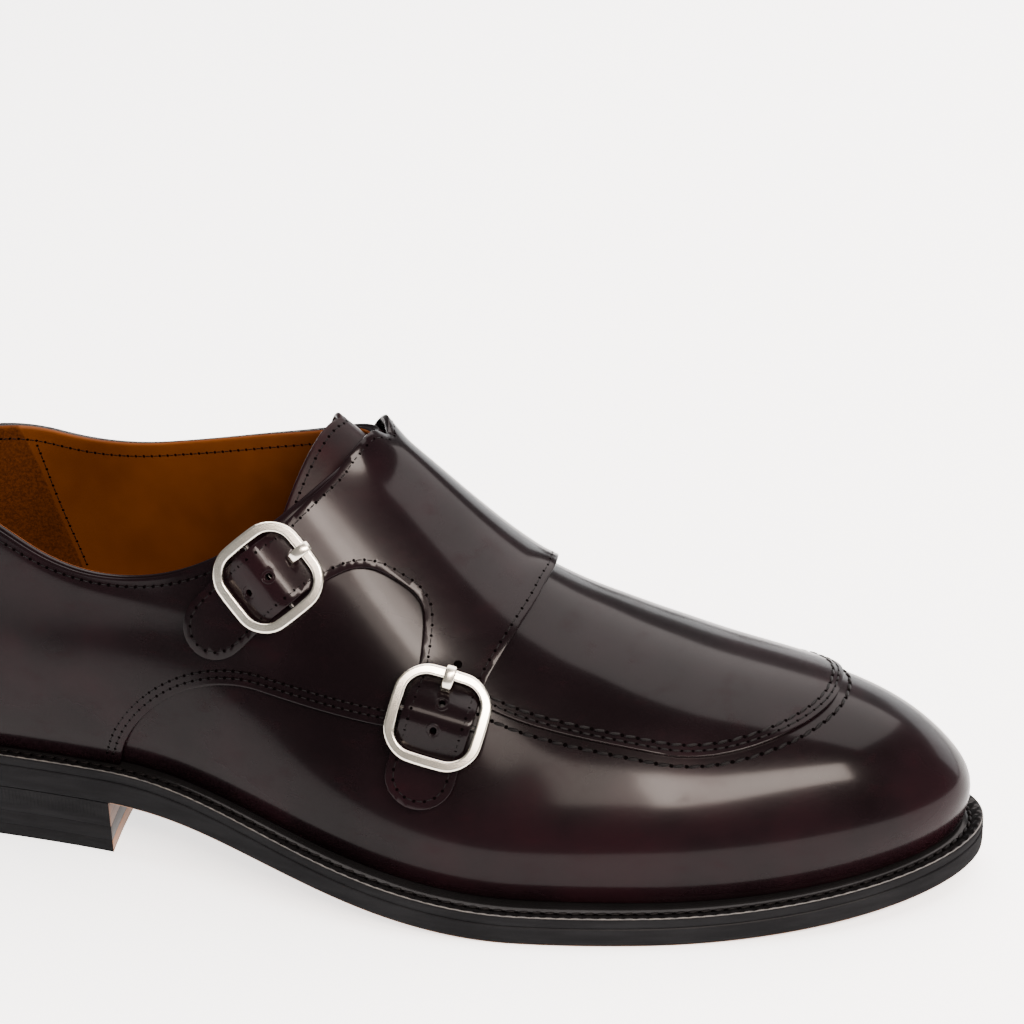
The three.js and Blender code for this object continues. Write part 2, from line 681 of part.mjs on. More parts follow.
// over the ridge the cutting outline stands clear of the leather
const overRidge = (x) => sideView(lastOffset(x, 0, 2 * (strapLow + strapThick)));
function armEdge(strap, from, to, side) {
  return even(from, to, armSteps).map((share) => {
    const f = strapFrame(strap, share);
    f.origin.addScaledVector(f.across, side * strapWidth / 2).addScaledVector(f.out, strapLow);
    return sideView(f.origin);
  });
}
function armTip(strap) {
  const f = strapFrame(strap, tabStart);
  const reach = strapFrame(strap, 1).origin.distanceTo(f.origin);
  return even(-Math.PI / 2, Math.PI / 2, tipSteps).map((angle) => sideView(f.origin.clone()
    .addScaledVector(f.across, -Math.sin(angle) * strapWidth / 2)
    .addScaledVector(f.down, Math.cos(angle) * reach)
    .addScaledVector(f.out, strapLow)));
}
function cuffOutline() {
  const [rear, front] = straps;
  return [
    overRidge(cuffBack),
    ...flapEdge('outerBack', cuffBack),
    ...armEdge(rear, 0.1, 0.78, 1),
    ...armTip(rear),
    ...armEdge(rear, 0.78, 0.22, -1),
    ...flapEdge('arch', cuffBack),
    ...armEdge(front, 0.12, 0.78, 1),
    ...armTip(front),
    ...armEdge(front, 0.78, 0.1, -1),
    ...flapEdge('outerFront', cuffFront),
    overRidge(cuffFront),
  ];
}
const cuffInnerOutline = () => [
  overRidge(cuffBack),
  ...flapEdge('innerBack', cuffBack),
  ...flapEdge('innerFront', cuffFront),
  overRidge(cuffFront),
];
function prism(outline, fromY, toY) {
  const shape = new THREE.Shape(outline);
  const geometry = new THREE.ExtrudeGeometry(shape, { depth: toY - fromY, bevelEnabled: false });
  geometry.rotateX(Math.PI / 2);
  geometry.translate(0, toY, 0);
  return toManifold(geometry);
}
const sheetMargin = 13; // the uncut sheet reaches this far past the cuff and its straps
const sheetTurnMargin = 0.09;
function strapCuff() {
  const lowTurn = Math.min(...straps.map((s) => s.tipTurn)) - sheetTurnMargin;
  const highTurn = Math.max(...flapEdges.innerBack.map((row) => row.turn)) + sheetTurnMargin;
  const xs = even(Math.min(...straps.map((s) => s.tipX)) - sheetMargin, cuffFront + sheetMargin, 26);
  const turns = even(lowTurn, highTurn, 31);
  const sheet = toManifold(panel(xs, (x) => turns.map((turn) => [x, turn]), strapOffset, strapThick));
  const split = ballWidth * section('ridge', cuffBack);
  const cutter = prism(cuffOutline(), -ballWidth, split).add(prism(cuffInnerOutline(), split, ballWidth));
  return fromManifold(sheet.intersect(cutter));
}

// A buckle lies flat on the strap's frame, bent a little over the foot
function placeOn(frame, geometry) {
  const position = geometry.attributes.position;
  const curve = curving(frame);
  for (let i = 0; i < position.count; i += 1) {
    const a = position.getX(i);
    const b = position.getY(i);
    const c = position.getZ(i) - curve.across * a * a - curve.along * b * b - curve.twist * a * b;
    const p = frame.origin.clone()
      .addScaledVector(frame.across, a)
      .addScaledVector(frame.down, b)
      .addScaledVector(frame.out, c);
    position.setXYZ(i, p.x, p.y, p.z);
  }
  return geometry;
}
function roundedPath(target, width, length, radius) {
  const w = width / 2;
  const l = length / 2;
  target.moveTo(-w + radius, -l);
  target.lineTo(w - radius, -l);
  target.absarc(w - radius, -l + radius, radius, -Math.PI / 2, 0, false);
  target.lineTo(w, l - radius);
  target.absarc(w - radius, l - radius, radius, 0, Math.PI / 2, false);
  target.lineTo(-w + radius, l);
  target.absarc(-w + radius, l - radius, radius, Math.PI / 2, Math.PI, false);
  target.lineTo(-w, -l + radius);
  target.absarc(-w + radius, -l + radius, radius, Math.PI, 1.5 * Math.PI, false);
  return target;
}
function buckleFrame(frame) {
  const eased = (target, inset) => roundedPath(
    target, buckleWidth - 2 * inset, buckleLength - 2 * inset, buckleCorner - inset,
  );
  const shape = eased(new THREE.Shape(), buckleEase);
  shape.holes.push(eased(new THREE.Path(), buckleBar - buckleEase));
  const ring = new THREE.ExtrudeGeometry(shape, {
    depth: buckleThick - 2 * buckleEase,
    bevelEnabled: true,
    bevelThickness: buckleEase,
    bevelSize: buckleEase,
    bevelSegments: 1,
    curveSegments: 3,
  });
  ring.translate(0, 0, buckleLow + buckleEase);
  const barTop = buckleLow + buckleThick / 3;
  const barHeight = barTop - centreBarLow;
  const bar = new THREE.BoxGeometry(buckleWidth - buckleBar, centreBarThick, barHeight, 6, 1, 1);
  bar.translate(0, 0, (barTop + centreBarLow) / 2);
  // the bar lies low between its two ends, under the strap
  const between = buckleWidth - 2 * buckleBar - barShoulder;
  const saddle = new THREE.BoxGeometry(between, 2 * centreBarThick, barHeight);
  saddle.translate(0, 0, centreBarLow + centreBarThick + barHeight / 2);
  const barBody = toManifold(bar).subtract(toManifold(saddle));
  return placeOn(frame, fromManifold(toManifold(ring).add(barBody)));
}
function buckleProng(frame) {
  const onFrame = buckleLow + buckleThick + prongRide;
  const onStrap = strapLow + strapLift + strapThick + prongRide;
  const reach = buckleLength / 2;
  const rod = new THREE.CapsuleGeometry(prongWidth / 2, reach - prongRide, 3, 7, 6);
  rod.scale(1, 1, prongThick / prongWidth);
  rod.translate(0, -(reach + prongRide) / 2, 0);
  const position = rod.attributes.position;
  for (let i = 0; i < position.count; i += 1) {
    const run = clamp01(-position.getY(i) / reach);
    const height = onStrap + (onFrame - onStrap) * smooth(prongFallStart, prongFallEnd, run);
    position.setZ(i, position.getZ(i) + height + prongThick / 2);
  }
  rod.deleteAttribute('normal');
  rod.deleteAttribute('uv');
  return placeOn(frame, mergeVertices(rod, 1e-4));
}

const insoleSteps = 26;
const insoleGap = 0.9; // insole inside the upper's wall
function insole() {
  const feather = (run) => {
    const p = ribPoint((run + 2) % 2, 0);
    return bend(p.x, p.y, 0);
  };
  const inset = wall + insoleGap;
  const loop = (z) => Array.from({ length: 2 * insoleSteps }, (_, i) => {
    const run = i / insoleSteps;
    const here = feather(run);
    const way = feather(run + 0.02).sub(feather(run - 0.02)).setZ(0).normalize();
    const x = here.x - way.y * inset;
    return new THREE.Vector3(x, here.y + way.x * inset, featherZ(x) + z);
  });
  return stack([loop(0), loop(insoleThick)]);
}

const finishes = {
  leather: { color: 0x2b1216, roughness: 0.28, metalness: 0 },
  panelLeather: { color: 0x32161a, roughness: 0.28, metalness: 0 },
  blackEdge: { color: 0x26272a, roughness: 0.45, metalness: 0 },
  welt: { color: 0x0d0d0e, roughness: 0.5, metalness: 0 },
  brownLift: { color: 0x6a4022, roughness: 0.7, metalness: 0 },
  darkLift: { color: 0x1c1b1c, roughness: 0.7, metalness: 0 },
  topPiece: { color: 0xa8642c, roughness: 0.7, metalness: 0 },
  lining: { color: 0xb06a26, roughness: 0.75, metalness: 0 },
  metal: { color: 0xd9dadc, roughness: 0.18, metalness: 1 },
};
const shoe = new THREE.Group();
function addPiece(name, geometry, finish) {
  const mesh = new THREE.Mesh(geometry, new THREE.MeshStandardMaterial(finishes[finish]));
  mesh.name = name;
  shoe.add(mesh);
}
const liftLow = topPieceThick + seatGap;
const stackLow = liftLow + liftThick + seatGap;
addPiece('heel_top_piece', heelLayer(0, topPieceThick, heelInset + 2 * heelTaper), 'topPiece');
addPiece('heel_lift', heelLayer(liftLow, liftThick, heelInset + heelTaper), 'darkLift');
addPiece('heel_stack', heelLayer(stackLow, stackThick, heelInset), 'brownLift');
addPiece('outsole', outsole(), 'blackEdge');
addPiece('welt', welt(), 'welt');
addPiece('insole', insole(), 'lining');
addPiece('upper', upper(), 'leather');
addPiece('quarters', quarters(), 'panelLeather');
addPiece('apron', apron(), 'panelLeather');
addPiece('tongue', tongue(), 'leather');
addPiece('strap_cuff', strapCuff(), 'panelLeather');
straps.forEach((strap, i) => {
  addPiece(`buckle_frame_${strap.name}`, buckleFrame(buckleFrames[i]), 'metal');
  addPiece(`buckle_prong_${strap.name}`, buckleProng(buckleFrames[i]), 'metal');
});

// The origin is under the middle of the shoe's box, on the ground
const box = new THREE.Box3().setFromObject(shoe, true);
const centre = box.getCenter(new THREE.Vector3());
shoe.position.set(-centre.x, -centre.y, -box.min.z);
shoe.updateMatrixWorld(true);

export default shoe;
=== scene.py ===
import math
import bpy
import numpy as np
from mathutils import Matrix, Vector
from mathutils.geometry import delaunay_2d_cdt


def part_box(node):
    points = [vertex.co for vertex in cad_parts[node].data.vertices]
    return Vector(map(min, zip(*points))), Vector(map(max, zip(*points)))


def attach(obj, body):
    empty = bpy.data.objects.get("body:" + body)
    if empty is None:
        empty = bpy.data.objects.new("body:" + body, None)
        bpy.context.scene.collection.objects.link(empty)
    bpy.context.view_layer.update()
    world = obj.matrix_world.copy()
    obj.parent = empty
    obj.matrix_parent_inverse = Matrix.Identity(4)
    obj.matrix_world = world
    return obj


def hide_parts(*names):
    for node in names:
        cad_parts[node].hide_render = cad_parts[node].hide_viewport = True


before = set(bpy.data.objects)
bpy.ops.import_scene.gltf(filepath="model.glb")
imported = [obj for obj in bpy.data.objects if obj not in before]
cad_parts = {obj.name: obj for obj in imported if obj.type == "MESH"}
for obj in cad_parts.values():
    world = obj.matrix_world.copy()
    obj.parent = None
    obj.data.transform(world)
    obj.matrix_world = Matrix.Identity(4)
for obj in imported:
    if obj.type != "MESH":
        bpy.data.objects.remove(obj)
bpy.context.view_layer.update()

mm = 0.001
soleLow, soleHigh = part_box('outsole')

# the plan of the sole and last, heel back to toe, in shares of the named widths
planRows = [
    dict(heel=1.00, ball=0.00, middle=-0.010, inset=0.042),
    dict(heel=0.99, ball=0.00, middle=-0.017, inset=0.042),
    dict(heel=0.985, ball=0.00, middle=-0.033, inset=0.042),
    dict(heel=0.70, ball=0.17, middle=-0.075, inset=0.042),
    dict(heel=0.35, ball=0.47, middle=-0.138, inset=0.047),
    dict(heel=0.10, ball=0.80, middle=-0.130, inset=0.052),
    dict(heel=0.00, ball=0.975, middle=-0.080, inset=0.056),
    dict(heel=0.00, ball=1.00, middle=-0.040, inset=0.056),
    dict(heel=0.00, ball=1.00, middle=-0.010, inset=0.056),
    dict(heel=0.00, ball=1.00, middle=0.022, inset=0.056),
    dict(heel=0.00, ball=1.00, middle=0.062, inset=0.056),
]
# the same stations upright: ridge heights in shares, and the powers that round each section
uprightRows = [
    dict(instep=1.34, toe=0.00, ridge=0.000, side=2.20, top=3.20),
    dict(instep=1.34, toe=0.00, ridge=0.010, side=2.20, top=3.20),
    dict(instep=1.32, toe=0.00, ridge=0.019, side=2.20, top=3.10),
    dict(instep=1.23, toe=0.00, ridge=0.028, side=2.10, top=2.50),
    dict(instep=1.10, toe=0.00, ridge=0.028, side=1.90, top=1.75),
    dict(instep=0.86, toe=0.13, ridge=0.028, side=1.80, top=1.50),
    dict(instep=0.455, toe=0.475, ridge=0.028, side=1.95, top=1.60),
    dict(instep=0.27, toe=0.655, ridge=0.023, side=2.15, top=1.85),
    dict(instep=0.08, toe=0.84, ridge=0.023, side=2.30, top=2.05),
    dict(instep=0.00, toe=0.955, ridge=0.037, side=2.30, top=2.10),
    dict(instep=0.00, toe=0.955, ridge=0.062, side=2.20, top=2.10),
]
# topline from the heel back to the throat, in shares of the back's height and of the ridge
toplineRows = [
    dict(outerBack=1.00, outerThroat=0.000, innerBack=1.000, innerThroat=0.000),
    dict(outerBack=0.96, outerThroat=0.000, innerBack=0.965, innerThroat=0.000),
    dict(outerBack=0.915, outerThroat=0.000, innerBack=0.930, innerThroat=0.000),
    dict(outerBack=0.80, outerThroat=0.000, innerBack=0.870, innerThroat=0.030),
    dict(outerBack=0.64, outerThroat=0.065, innerBack=0.700, innerThroat=0.150),
    dict(outerBack=0.43, outerThroat=0.215, innerBack=0.460, innerThroat=0.345),
    dict(outerBack=0.21, outerThroat=0.445, innerBack=0.220, innerThroat=0.575),
    dict(outerBack=0.07, outerThroat=0.705, innerBack=0.060, innerThroat=0.785),
    dict(outerBack=0.00, outerThroat=1.000, innerBack=0.000, innerThroat=1.000),
]

# the last's lengths in millimetres, from the heel's back and the ground
last = dict(
    length=(soleHigh.x - soleLow.x) / mm, heelWidth=70, heelRadius=34, toeReach=141, breast=74, waistEnd=190,
    springStart=225, toeSpring=6.5, heelHeight=16, soleThick=5.5, soleHeelThick=7.1, thinFrom=150,
    welt=2.6, seat=0.3, toeInset=3.5, instepRise=97, toeDepth=46, toeCap=64, backHeight=73, backLean=11,
    leanStart=26, counterBulge=3, counterBack=3.5, counterHeight=24, counterSpread=17, counterFull=40,
    counterEnd=150, wallSwell=1.6, wallSwellHeight=18, wallSwellSpread=11, wallSwellStart=90,
    wallSwellFull=200, toeSwell=1.2, toeSwellHeight=14, toeSwellSpread=8, backSet=0.5, tuck=2.2,
    tuckHeight=14, throat=139,
)
leather = dict(wall=2.0, gap=0.5, overlay=1.2, strap=1.6, tongue=1.6)


def clamp01(t):
    return np.clip(t, 0, 1)


def smooth(a, b, x):
    t = clamp01((np.asarray(x, float) - a) / (b - a))
    return t * t * (3 - 2 * t)


def bell(x, centre, spread):
    return np.exp(-(((x - centre) / spread) ** 2))


def column(rows, key, t):
    # a smooth curve through one column of a table
    values = np.array([row[key] for row in rows], float)
    ends = [2 * values[0] - values[1]], values, [2 * values[-1] - values[-2]]
    padded = np.concatenate(ends)
    place = clamp01(t) * (len(values) - 1)
    i = np.minimum(place.astype(int), len(values) - 2)
    f = place - i
    weights = [(1 - f) ** 3, 3 * f ** 3 - 6 * f ** 2 + 4, -3 * f ** 3 + 3 * f ** 2 + 3 * f + 1, f ** 3]
    return sum(w * padded[i + k] for k, w in enumerate(weights)) / 6


stations = np.linspace(0, last['length'], 1221)
sectionTables = {}
for rows in (planRows, uprightRows):
    for key in rows[0]:
        sectionTables[key] = column(rows, key, stations / last['length'])


def section(key, x):
    return np.interp(x, stations, sectionTables[key])


# the ball's width follows from the sole's own width in the frame
def halfShares(x, ballWidth):
    return last['heelWidth'] / 2 * section('heel', x) + ballWidth / 2 * section('ball', x)


def endCaps(x, inset):
    a = clamp01((x - inset) / (last['heelRadius'] - inset))
    tau = clamp01((x - last['length'] + last['toeReach']) / (last['toeReach'] - inset))
    return np.sqrt(1 - (1 - a) ** 2) * (1 - tau ** 2.35) ** (1 / 1.95)


def soleReach(ballWidth):
    half = halfShares(stations, ballWidth) * endCaps(stations, 0)
    line = ballWidth * section('middle', stations)
    return (line - half).min(), (line + half).max()


ballWidth = 106.8
low, high = soleReach(ballWidth)
ballWidth *= (soleHigh.y - soleLow.y) / mm / (high - low)
shift = np.array([soleLow.x / mm, soleLow.y / mm - soleReach(ballWidth)[0], 0])


def bareHalf(x):
    return halfShares(x, ballWidth)


def middle(x):
    return ballWidth * section('middle', x)


def groundZ(x):
    heelLift = last['heelHeight'] * smooth(last['waistEnd'], last['breast'], x)
    run = clamp01((x - last['springStart']) / (last['length'] - last['springStart']))
    return heelLift + last['toeSpring'] * run ** 1.8


def soleTop(x):
    thin = smooth(last['thinFrom'], last['breast'], x)
    return groundZ(x) + last['soleThick'] + (last['soleHeelThick'] - last['soleThick']) * thin


def weltTop(x):
    return soleTop(x) + last['seat'] + last['welt']


def featherZ(x):
    return weltTop(x) + last['seat']


def rise(x):
    tau = clamp01((x - last['length'] + last['toeInset'] + last['toeCap']) / last['toeCap'])
    ridge = last['instepRise'] * section('instep', x) + last['toeDepth'] * section('toe', x)
    return ridge * np.sqrt(1 - tau ** 2.2)


def lastHalf(x):
    return bareHalf(x) - ballWidth * section('inset', x)


def bend(x, q, h):
    # from place, sideways and height to the real bent form
    s = last
    lean = clamp01(h / np.maximum(rise(x), 1e-6)) ** 1.3
    centre = middle(x) + (ballWidth * section('ridge', x) - middle(x)) * lean
    nearBack = 1 - smooth(0, s['breast'], x)
    nearToe = smooth(s['springStart'], s['length'] - s['toeInset'], x)
    tuck = s['tuck'] * clamp01(1 - h / s['tuckHeight']) ** 2
    counter = bell(h, s['counterHeight'], s['counterSpread'])
    forward = smooth(s['wallSwellStart'], s['wallSwellFull'], x) * endCaps(x, s['toeInset'])
    low = s['wallSwell'] * bell(h, s['wallSwellHeight'], s['wallSwellSpread']) * forward
    bulge = s['counterBulge'] * counter * (1 - smooth(s['counterFull'], s['counterEnd'], x)) + low
    leaning = s['backLean'] * clamp01((h - s['leanStart']) / (s['backHeight'] - s['leanStart'])) ** 1.6
    back = leaning - s['counterBack'] * counter + s['backSet'] + tuck
    toe = s['toeSwell'] * bell(h, s['toeSwellHeight'], s['toeSwellSpread']) - tuck
    return np.stack([
        x + back * nearBack + toe * nearToe,
        centre + q * (1 + (bulge - tuck) / lastHalf(x)),
        featherZ(x) + h,
    ], -1)


def lastPoint(x, turn):
    # turn runs from -1 at the outer feather line over 0 at the ridge to 1 at the inner one
    angle = (1 - np.abs(turn)) * np.pi / 2
    width = lastHalf(x) * endCaps(x, last['toeInset'])
    across = width * np.maximum(np.cos(angle), 0) ** (2 / section('side', x))
    up = rise(x) * np.maximum(np.sin(angle), 0) ** (2 / section('top', x))
    return bend(x, np.sign(turn) * across, up)


def unit(v):
    return v / np.maximum(np.linalg.norm(v, axis=-1, keepdims=True), 1e-9)


def lastFrame(x, turn):
    perX = lastPoint(x + 0.5, turn) - lastPoint(x - 0.5, turn)
    perTurn = (lastPoint(x, turn + 0.004) - lastPoint(x, turn - 0.004)) / 0.008
    return perX, perTurn, unit(np.cross(perX, perTurn))


def lifted(x, turn, off):
    normal = lastFrame(x, turn)[2]
    return lastPoint(x, turn) + normal * np.asarray(off)[..., None]


def placeOf(points, x, turn):
    # the place and turn whose last point lies nearest, from a first guess
    for _ in range(4):
        perX, perTurn, normal = lastFrame(x, turn)
        miss = points - lastPoint(x, turn)
        miss = miss - (miss * normal).sum(-1, keepdims=True) * normal
        a, b, c = (perX * perX).sum(-1), (perX * perTurn).sum(-1), (perTurn * perTurn).sum(-1)
        u, v = (perX * miss).sum(-1), (perTurn * miss).sum(-1)
        size = a * c - b * b
        x = x + (c * u - b * v) / size
        turn = np.clip(turn + (a * v - b * u) / size, -0.995, 0.995)
    return x, turn


def uprightPlace(x, side, share):
    # place and turn of a height given as a share of the ridge
    turn = side * (1 - 2 / np.pi * np.arcsin(clamp01(share) ** (section('top', x) / 2)))
    return x, turn


# ribs run from the feather line up to the topline, all round the shoe
ribs = dict(back=last['toeInset'], tip=last['length'] - last['toeInset'], kneeAlong=0.8, kneeOut=1.1,
            kneeHeight=0.62, spineBack=36, spineFront=235)


def toplineShare(x, side):
    e = (x - ribs['back']) / (last['throat'] - ribs['back'])
    backShare = last['backHeight'] / (last['instepRise'] * uprightRows[0]['instep'])
    outer = backShare * column(toplineRows, 'outerBack', e) + column(toplineRows, 'outerThroat', e)
    inner = backShare * column(toplineRows, 'innerBack', e) + column(toplineRows, 'innerThroat', e)
    return np.minimum(np.where(side < 0, outer, inner), 1)


def ribPoint(run, v):
    run = np.mod(run, 2)
    side = np.where(run <= 1, -1.0, 1.0)
    along = np.where(run <= 1, run, 2 - run)
    footX = ribs['back'] + (ribs['tip'] - ribs['back']) * (1 - np.cos(np.pi * along)) / 2
    headX = ribs['back'] + (last['throat'] - ribs['back']) * (1 - np.cos(np.pi * along ** 0.75)) / 2
    width = lastHalf(footX) * endCaps(footX, last['toeInset'])
    foot = np.stack([footX, side * width, 0 * footX], -1)
    share = toplineShare(headX, side)
    headHalf = lastHalf(headX) * endCaps(headX, last['toeInset'])
    headQ = headHalf * (1 - share ** section('top', headX)) ** (1 / section('side', headX))
    head = np.stack([headX, side * headQ, share * rise(headX)], -1)
    kneeX = headX + (footX - headX) * ribs['kneeAlong']
    knee = np.stack([kneeX, foot[..., 1] * ribs['kneeOut'], head[..., 2] * ribs['kneeHeight']], -1)
    w = v[..., None]
    guide = foot * (1 - w) ** 2 + knee * 2 * w * (1 - w) + head * w * w
    axis = np.zeros_like(guide)
    axis[..., 0] = np.clip(guide[..., 0], ribs['spineBack'], ribs['spineFront'])
    ray = guide - axis
    low, high = np.zeros(len(run)), np.full(len(run), 4.0)
    for _ in range(36):
        t = (low + high) / 2
        p = axis + ray * t[:, None]
        x = np.clip(p[:, 0], ribs['back'] + 1e-6, ribs['tip'] - 1e-6)
        wide = np.maximum(lastHalf(x) * endCaps(x, last['toeInset']), 1e-6)
        tall = np.maximum(rise(x), 1e-6)
        sideways, upward = np.abs(p[:, 1]) / wide, np.abs(p[:, 2]) / tall
        out = sideways ** section('side', x) + upward ** section('top', x) > 1
        out = out | (p[:, 0] <= ribs['back']) | (p[:, 0] >= ribs['tip'])
        high = np.where(out, t, high)
        low = np.where(out, low, t)
    p = axis + ray * low[:, None]
    p = np.where(w <= 0, foot, np.where(w >= 1, head, p))
    return p[:, 0], p[:, 1], p[:, 2]


def ribLifted(run, v, off):
    step = 0.003
    here = bend(*ribPoint(run, v))
    up = bend(*ribPoint(run, np.minimum(v + step, 1))) - bend(*ribPoint(run, np.maximum(v - step, 0)))
    on = bend(*ribPoint(run + step, v)) - bend(*ribPoint(run - step, v))
    return here + unit(np.cross(on, up)) * np.asarray(off)[..., None]


# creases and hollows: where, how far they reach and how deep they are
dents = [
    dict(at=(120, -34, 60), reach=(16, 14, 7), deep=0.35),
    dict(at=(88, -36, 70), reach=(20, 14, 9), deep=0.40),
    dict(at=(62, -34, 52), reach=(16, 14, 12), deep=-0.35),
    dict(at=(200, -30, 52), reach=(14, 12, 8), deep=0.25),
    dict(at=(214, 4, 66), reach=(8, 30, 14), deep=0.25),
    dict(at=(198, 2, 76), reach=(7, 30, 14), deep=0.22),
    dict(at=(150, 40, 50), reach=(16, 12, 10), deep=0.35),
]


def relief(points):
    # how far the leather stands out or sinks in at each point
    out = np.zeros(points.shape[:-1])
    for dent in dents:
        away = (points - np.array(dent['at'])) / np.array(dent['reach'])
        out -= dent['deep'] * np.exp(-(away ** 2).sum(-1))
    return out


def toFrame(points):
    # millimetres from the heel's back to metres in the shared frame
    return (points + shift) * mm


# helpers for modelling
def deselectAll():
    if bpy.context.object and bpy.context.object.mode != 'OBJECT':
        bpy.ops.object.mode_set(mode='OBJECT')
    bpy.ops.object.select_all(action='DESELECT')


def pick(piece):
    deselectAll()
    piece.select_set(True)
    bpy.context.view_layer.objects.active = piece


def coordinates(piece):
    flat = np.zeros(len(piece.data.vertices) * 3)
    piece.data.vertices.foreach_get('co', flat)
    return flat.reshape(-1, 3)


def setCoordinates(piece, points):
    piece.data.vertices.foreach_set('co', np.ascontiguousarray(points, dtype=float).ravel())
    piece.data.update()


def laidGrid(name, across, along, placing, weld=False):
    # a flat grid, laid onto the form by a function of its two sides' shares
    deselectAll()
    bpy.ops.mesh.primitive_grid_add(x_subdivisions=across, y_subdivisions=along, size=1)
    piece = bpy.context.object
    piece.name = name
    flat = coordinates(piece) + 0.5
    u = np.round(flat[:, 0] * across) / across
    v = np.round(flat[:, 1] * along) / along
    setCoordinates(piece, toFrame(placing(u, v)))
    if weld:
        bpy.ops.object.mode_set(mode='EDIT')
        bpy.ops.mesh.select_all(action='SELECT')
        bpy.ops.mesh.remove_doubles(threshold=2e-6)
        bpy.ops.object.mode_set(mode='OBJECT')
    return piece


def meshPiece(name, points, faces):
    mesh = bpy.data.meshes.new(name)
    mesh.from_pydata([tuple(p) for p in points], [], faces)
    mesh.update()
    piece = bpy.data.objects.new(name, mesh)
    bpy.context.scene.collection.objects.link(piece)
    return piece


def applied(piece, kind, **settings):
    pick(piece)
    modifier = piece.modifiers.new(kind, kind)
    for key, value in settings.items():
        setattr(modifier, key, value)
    bpy.ops.object.modifier_apply(modifier=modifier.name)


def smoothShaded(piece, degrees=40):
    pick(piece)
    bpy.ops.object.shade_smooth_by_angle(angle=math.radians(degrees))


def finishPanel(piece, thick, edge, segments=2):
    # a laid sheet becomes leather with eased cut edges
    applied(piece, 'SOLIDIFY', thickness=thick * mm, offset=0.0, use_even_offset=True, material_offset_rim=1)
    applied(piece, 'BEVEL', width=edge * mm, segments=segments, limit_method='ANGLE',
            angle_limit=math.radians(55), use_clamp_overlap=True)
    smoothShaded(piece, 60)


def flipIfInward(piece, outward):
    # outward is a rough direction for the first face's normal
    normal = piece.data.polygons[len(piece.data.polygons) // 2].normal
    if normal.dot(Vector(outward)) < 0:
        pick(piece)
        bpy.ops.object.mode_set(mode='EDIT')
        bpy.ops.mesh.select_all(action='SELECT')
        bpy.ops.mesh.flip_normals()
        bpy.ops.object.mode_set(mode='OBJECT')


# the upper: one wall from the feather line to the topline, with its lining
upperForm = dict(ribs=440, rows=126, outer=0.56, roll=0.05, liningDrop=2.6, liningRise=0.35, crowd=0.3)


def crowded(t):
    return t * (1 + upperForm['crowd'] - upperForm['crowd'] * t)


def upperPlacing(u, w):
    form, wall = upperForm, leather['wall']
    run = 2 * u
    lastRow = 1 - 1 / form['rows']
    rollEnd = form['outer'] + form['roll']
    outside, rolling = w <= form['outer'], (w > form['outer']) & (w < rollEnd)
    inside = (w >= rollEnd) & (w <= lastRow + 1e-6)
    down = clamp01((w - rollEnd) / (lastRow - rollEnd))
    rising = crowded(clamp01(w / form['outer']))
    v = np.select([outside, rolling, inside], [rising, 1.0, crowded(1 - down)], 0.0)
    off = np.where(inside, -wall, 0.0)
    points = ribLifted(run, v, off)
    out = points + unit(points - ribLifted(run, v, off - 0.5)) * relief(points)[..., None]
    # the wall's top edge is rounded over
    phi = np.pi * clamp01((w - form['outer']) / form['roll'])
    edge = ribLifted(run, np.ones_like(v), wall / 2 * (np.cos(phi) - 1))
    under = ribLifted(run, np.full_like(v, 0.985), wall / 2 * (np.cos(phi) - 1))
    rolled = edge + unit(edge - under) * (0.6 * wall / 2 * np.sin(phi))[..., None]
    out = np.where(rolling[..., None], rolled, out)
    flat = bend(*ribPoint(run, np.zeros_like(v)))[:, 2]
    out[:, 2] = np.where(v <= 0, flat, out[:, 2])
    return out


def makeUpper():
    piece = laidGrid('upperShell', upperForm['ribs'], upperForm['rows'], upperPlacing, weld=True)
    smoothShaded(piece, 70)
    return piece


# the quarters lie over the wall, from the topline down to a curved cut edge
quarter = dict(start=77, reach=43, height=36, front=166, climb=1.8, round=0.62, slope=0.055,
               skive=0.45, lastRib=0.985, ribs=520, rows=44)


def quarterEdge(x):
    crest = quarter['start'] + quarter['reach']
    t = clamp01((crest - x) / quarter['reach'])
    rising = quarter['height'] * (1 - t ** quarter['climb']) ** quarter['round']
    return rising + np.maximum(x - crest, 0) * quarter['slope']


def quarterMeets(run):
    low, high = np.zeros_like(run), np.full_like(run, 0.97)
    for _ in range(20):
        v = (low + high) / 2
        x, q, h = ribPoint(run, v)
        inside = (x < quarter['start']) | (h > quarterEdge(x)) & (x < quarter['front'])
        high, low = np.where(inside, v, high), np.where(inside, low, v)
    x, q, h = ribPoint(run, np.zeros_like(run))
    return np.where(x < quarter['start'], 0, high)


def makeQuarters():
    # each rib from the cut edge up to the topline; the front ends lie under the cuff
    def placing(u, v):
        run = 2 - quarter['lastRib'] + 2 * quarter['lastRib'] * u
        start = quarterMeets(np.where(run > 2, run - 2, 2 - run))
        share = start + (1 - start) * v
        off = leather['gap'] + leather['overlay'] / 2
        skive = quarter['skive'] * smooth(0.90, 1, share)
        points = ribLifted(run, share, off - skive)
        points = points + unit(points - ribLifted(run, share, off - 1)) * relief(points)[..., None]
        return points

    piece = laidGrid('quarterPanels', quarter['ribs'], quarter['rows'], placing)
    finishPanel(piece, leather['overlay'], 0.4)
    return piece


# the apron over the toes
apron = dict(back=166, shoulder=222, tip=265, halfGirth=0.51, round=2.2, rows=130, across=150)


def apronFront(a):
    ahead = np.sqrt(clamp01(1 - np.abs(a) ** apron['round']))
    return apron['shoulder'] + (apron['tip'] - apron['shoulder']) * ahead


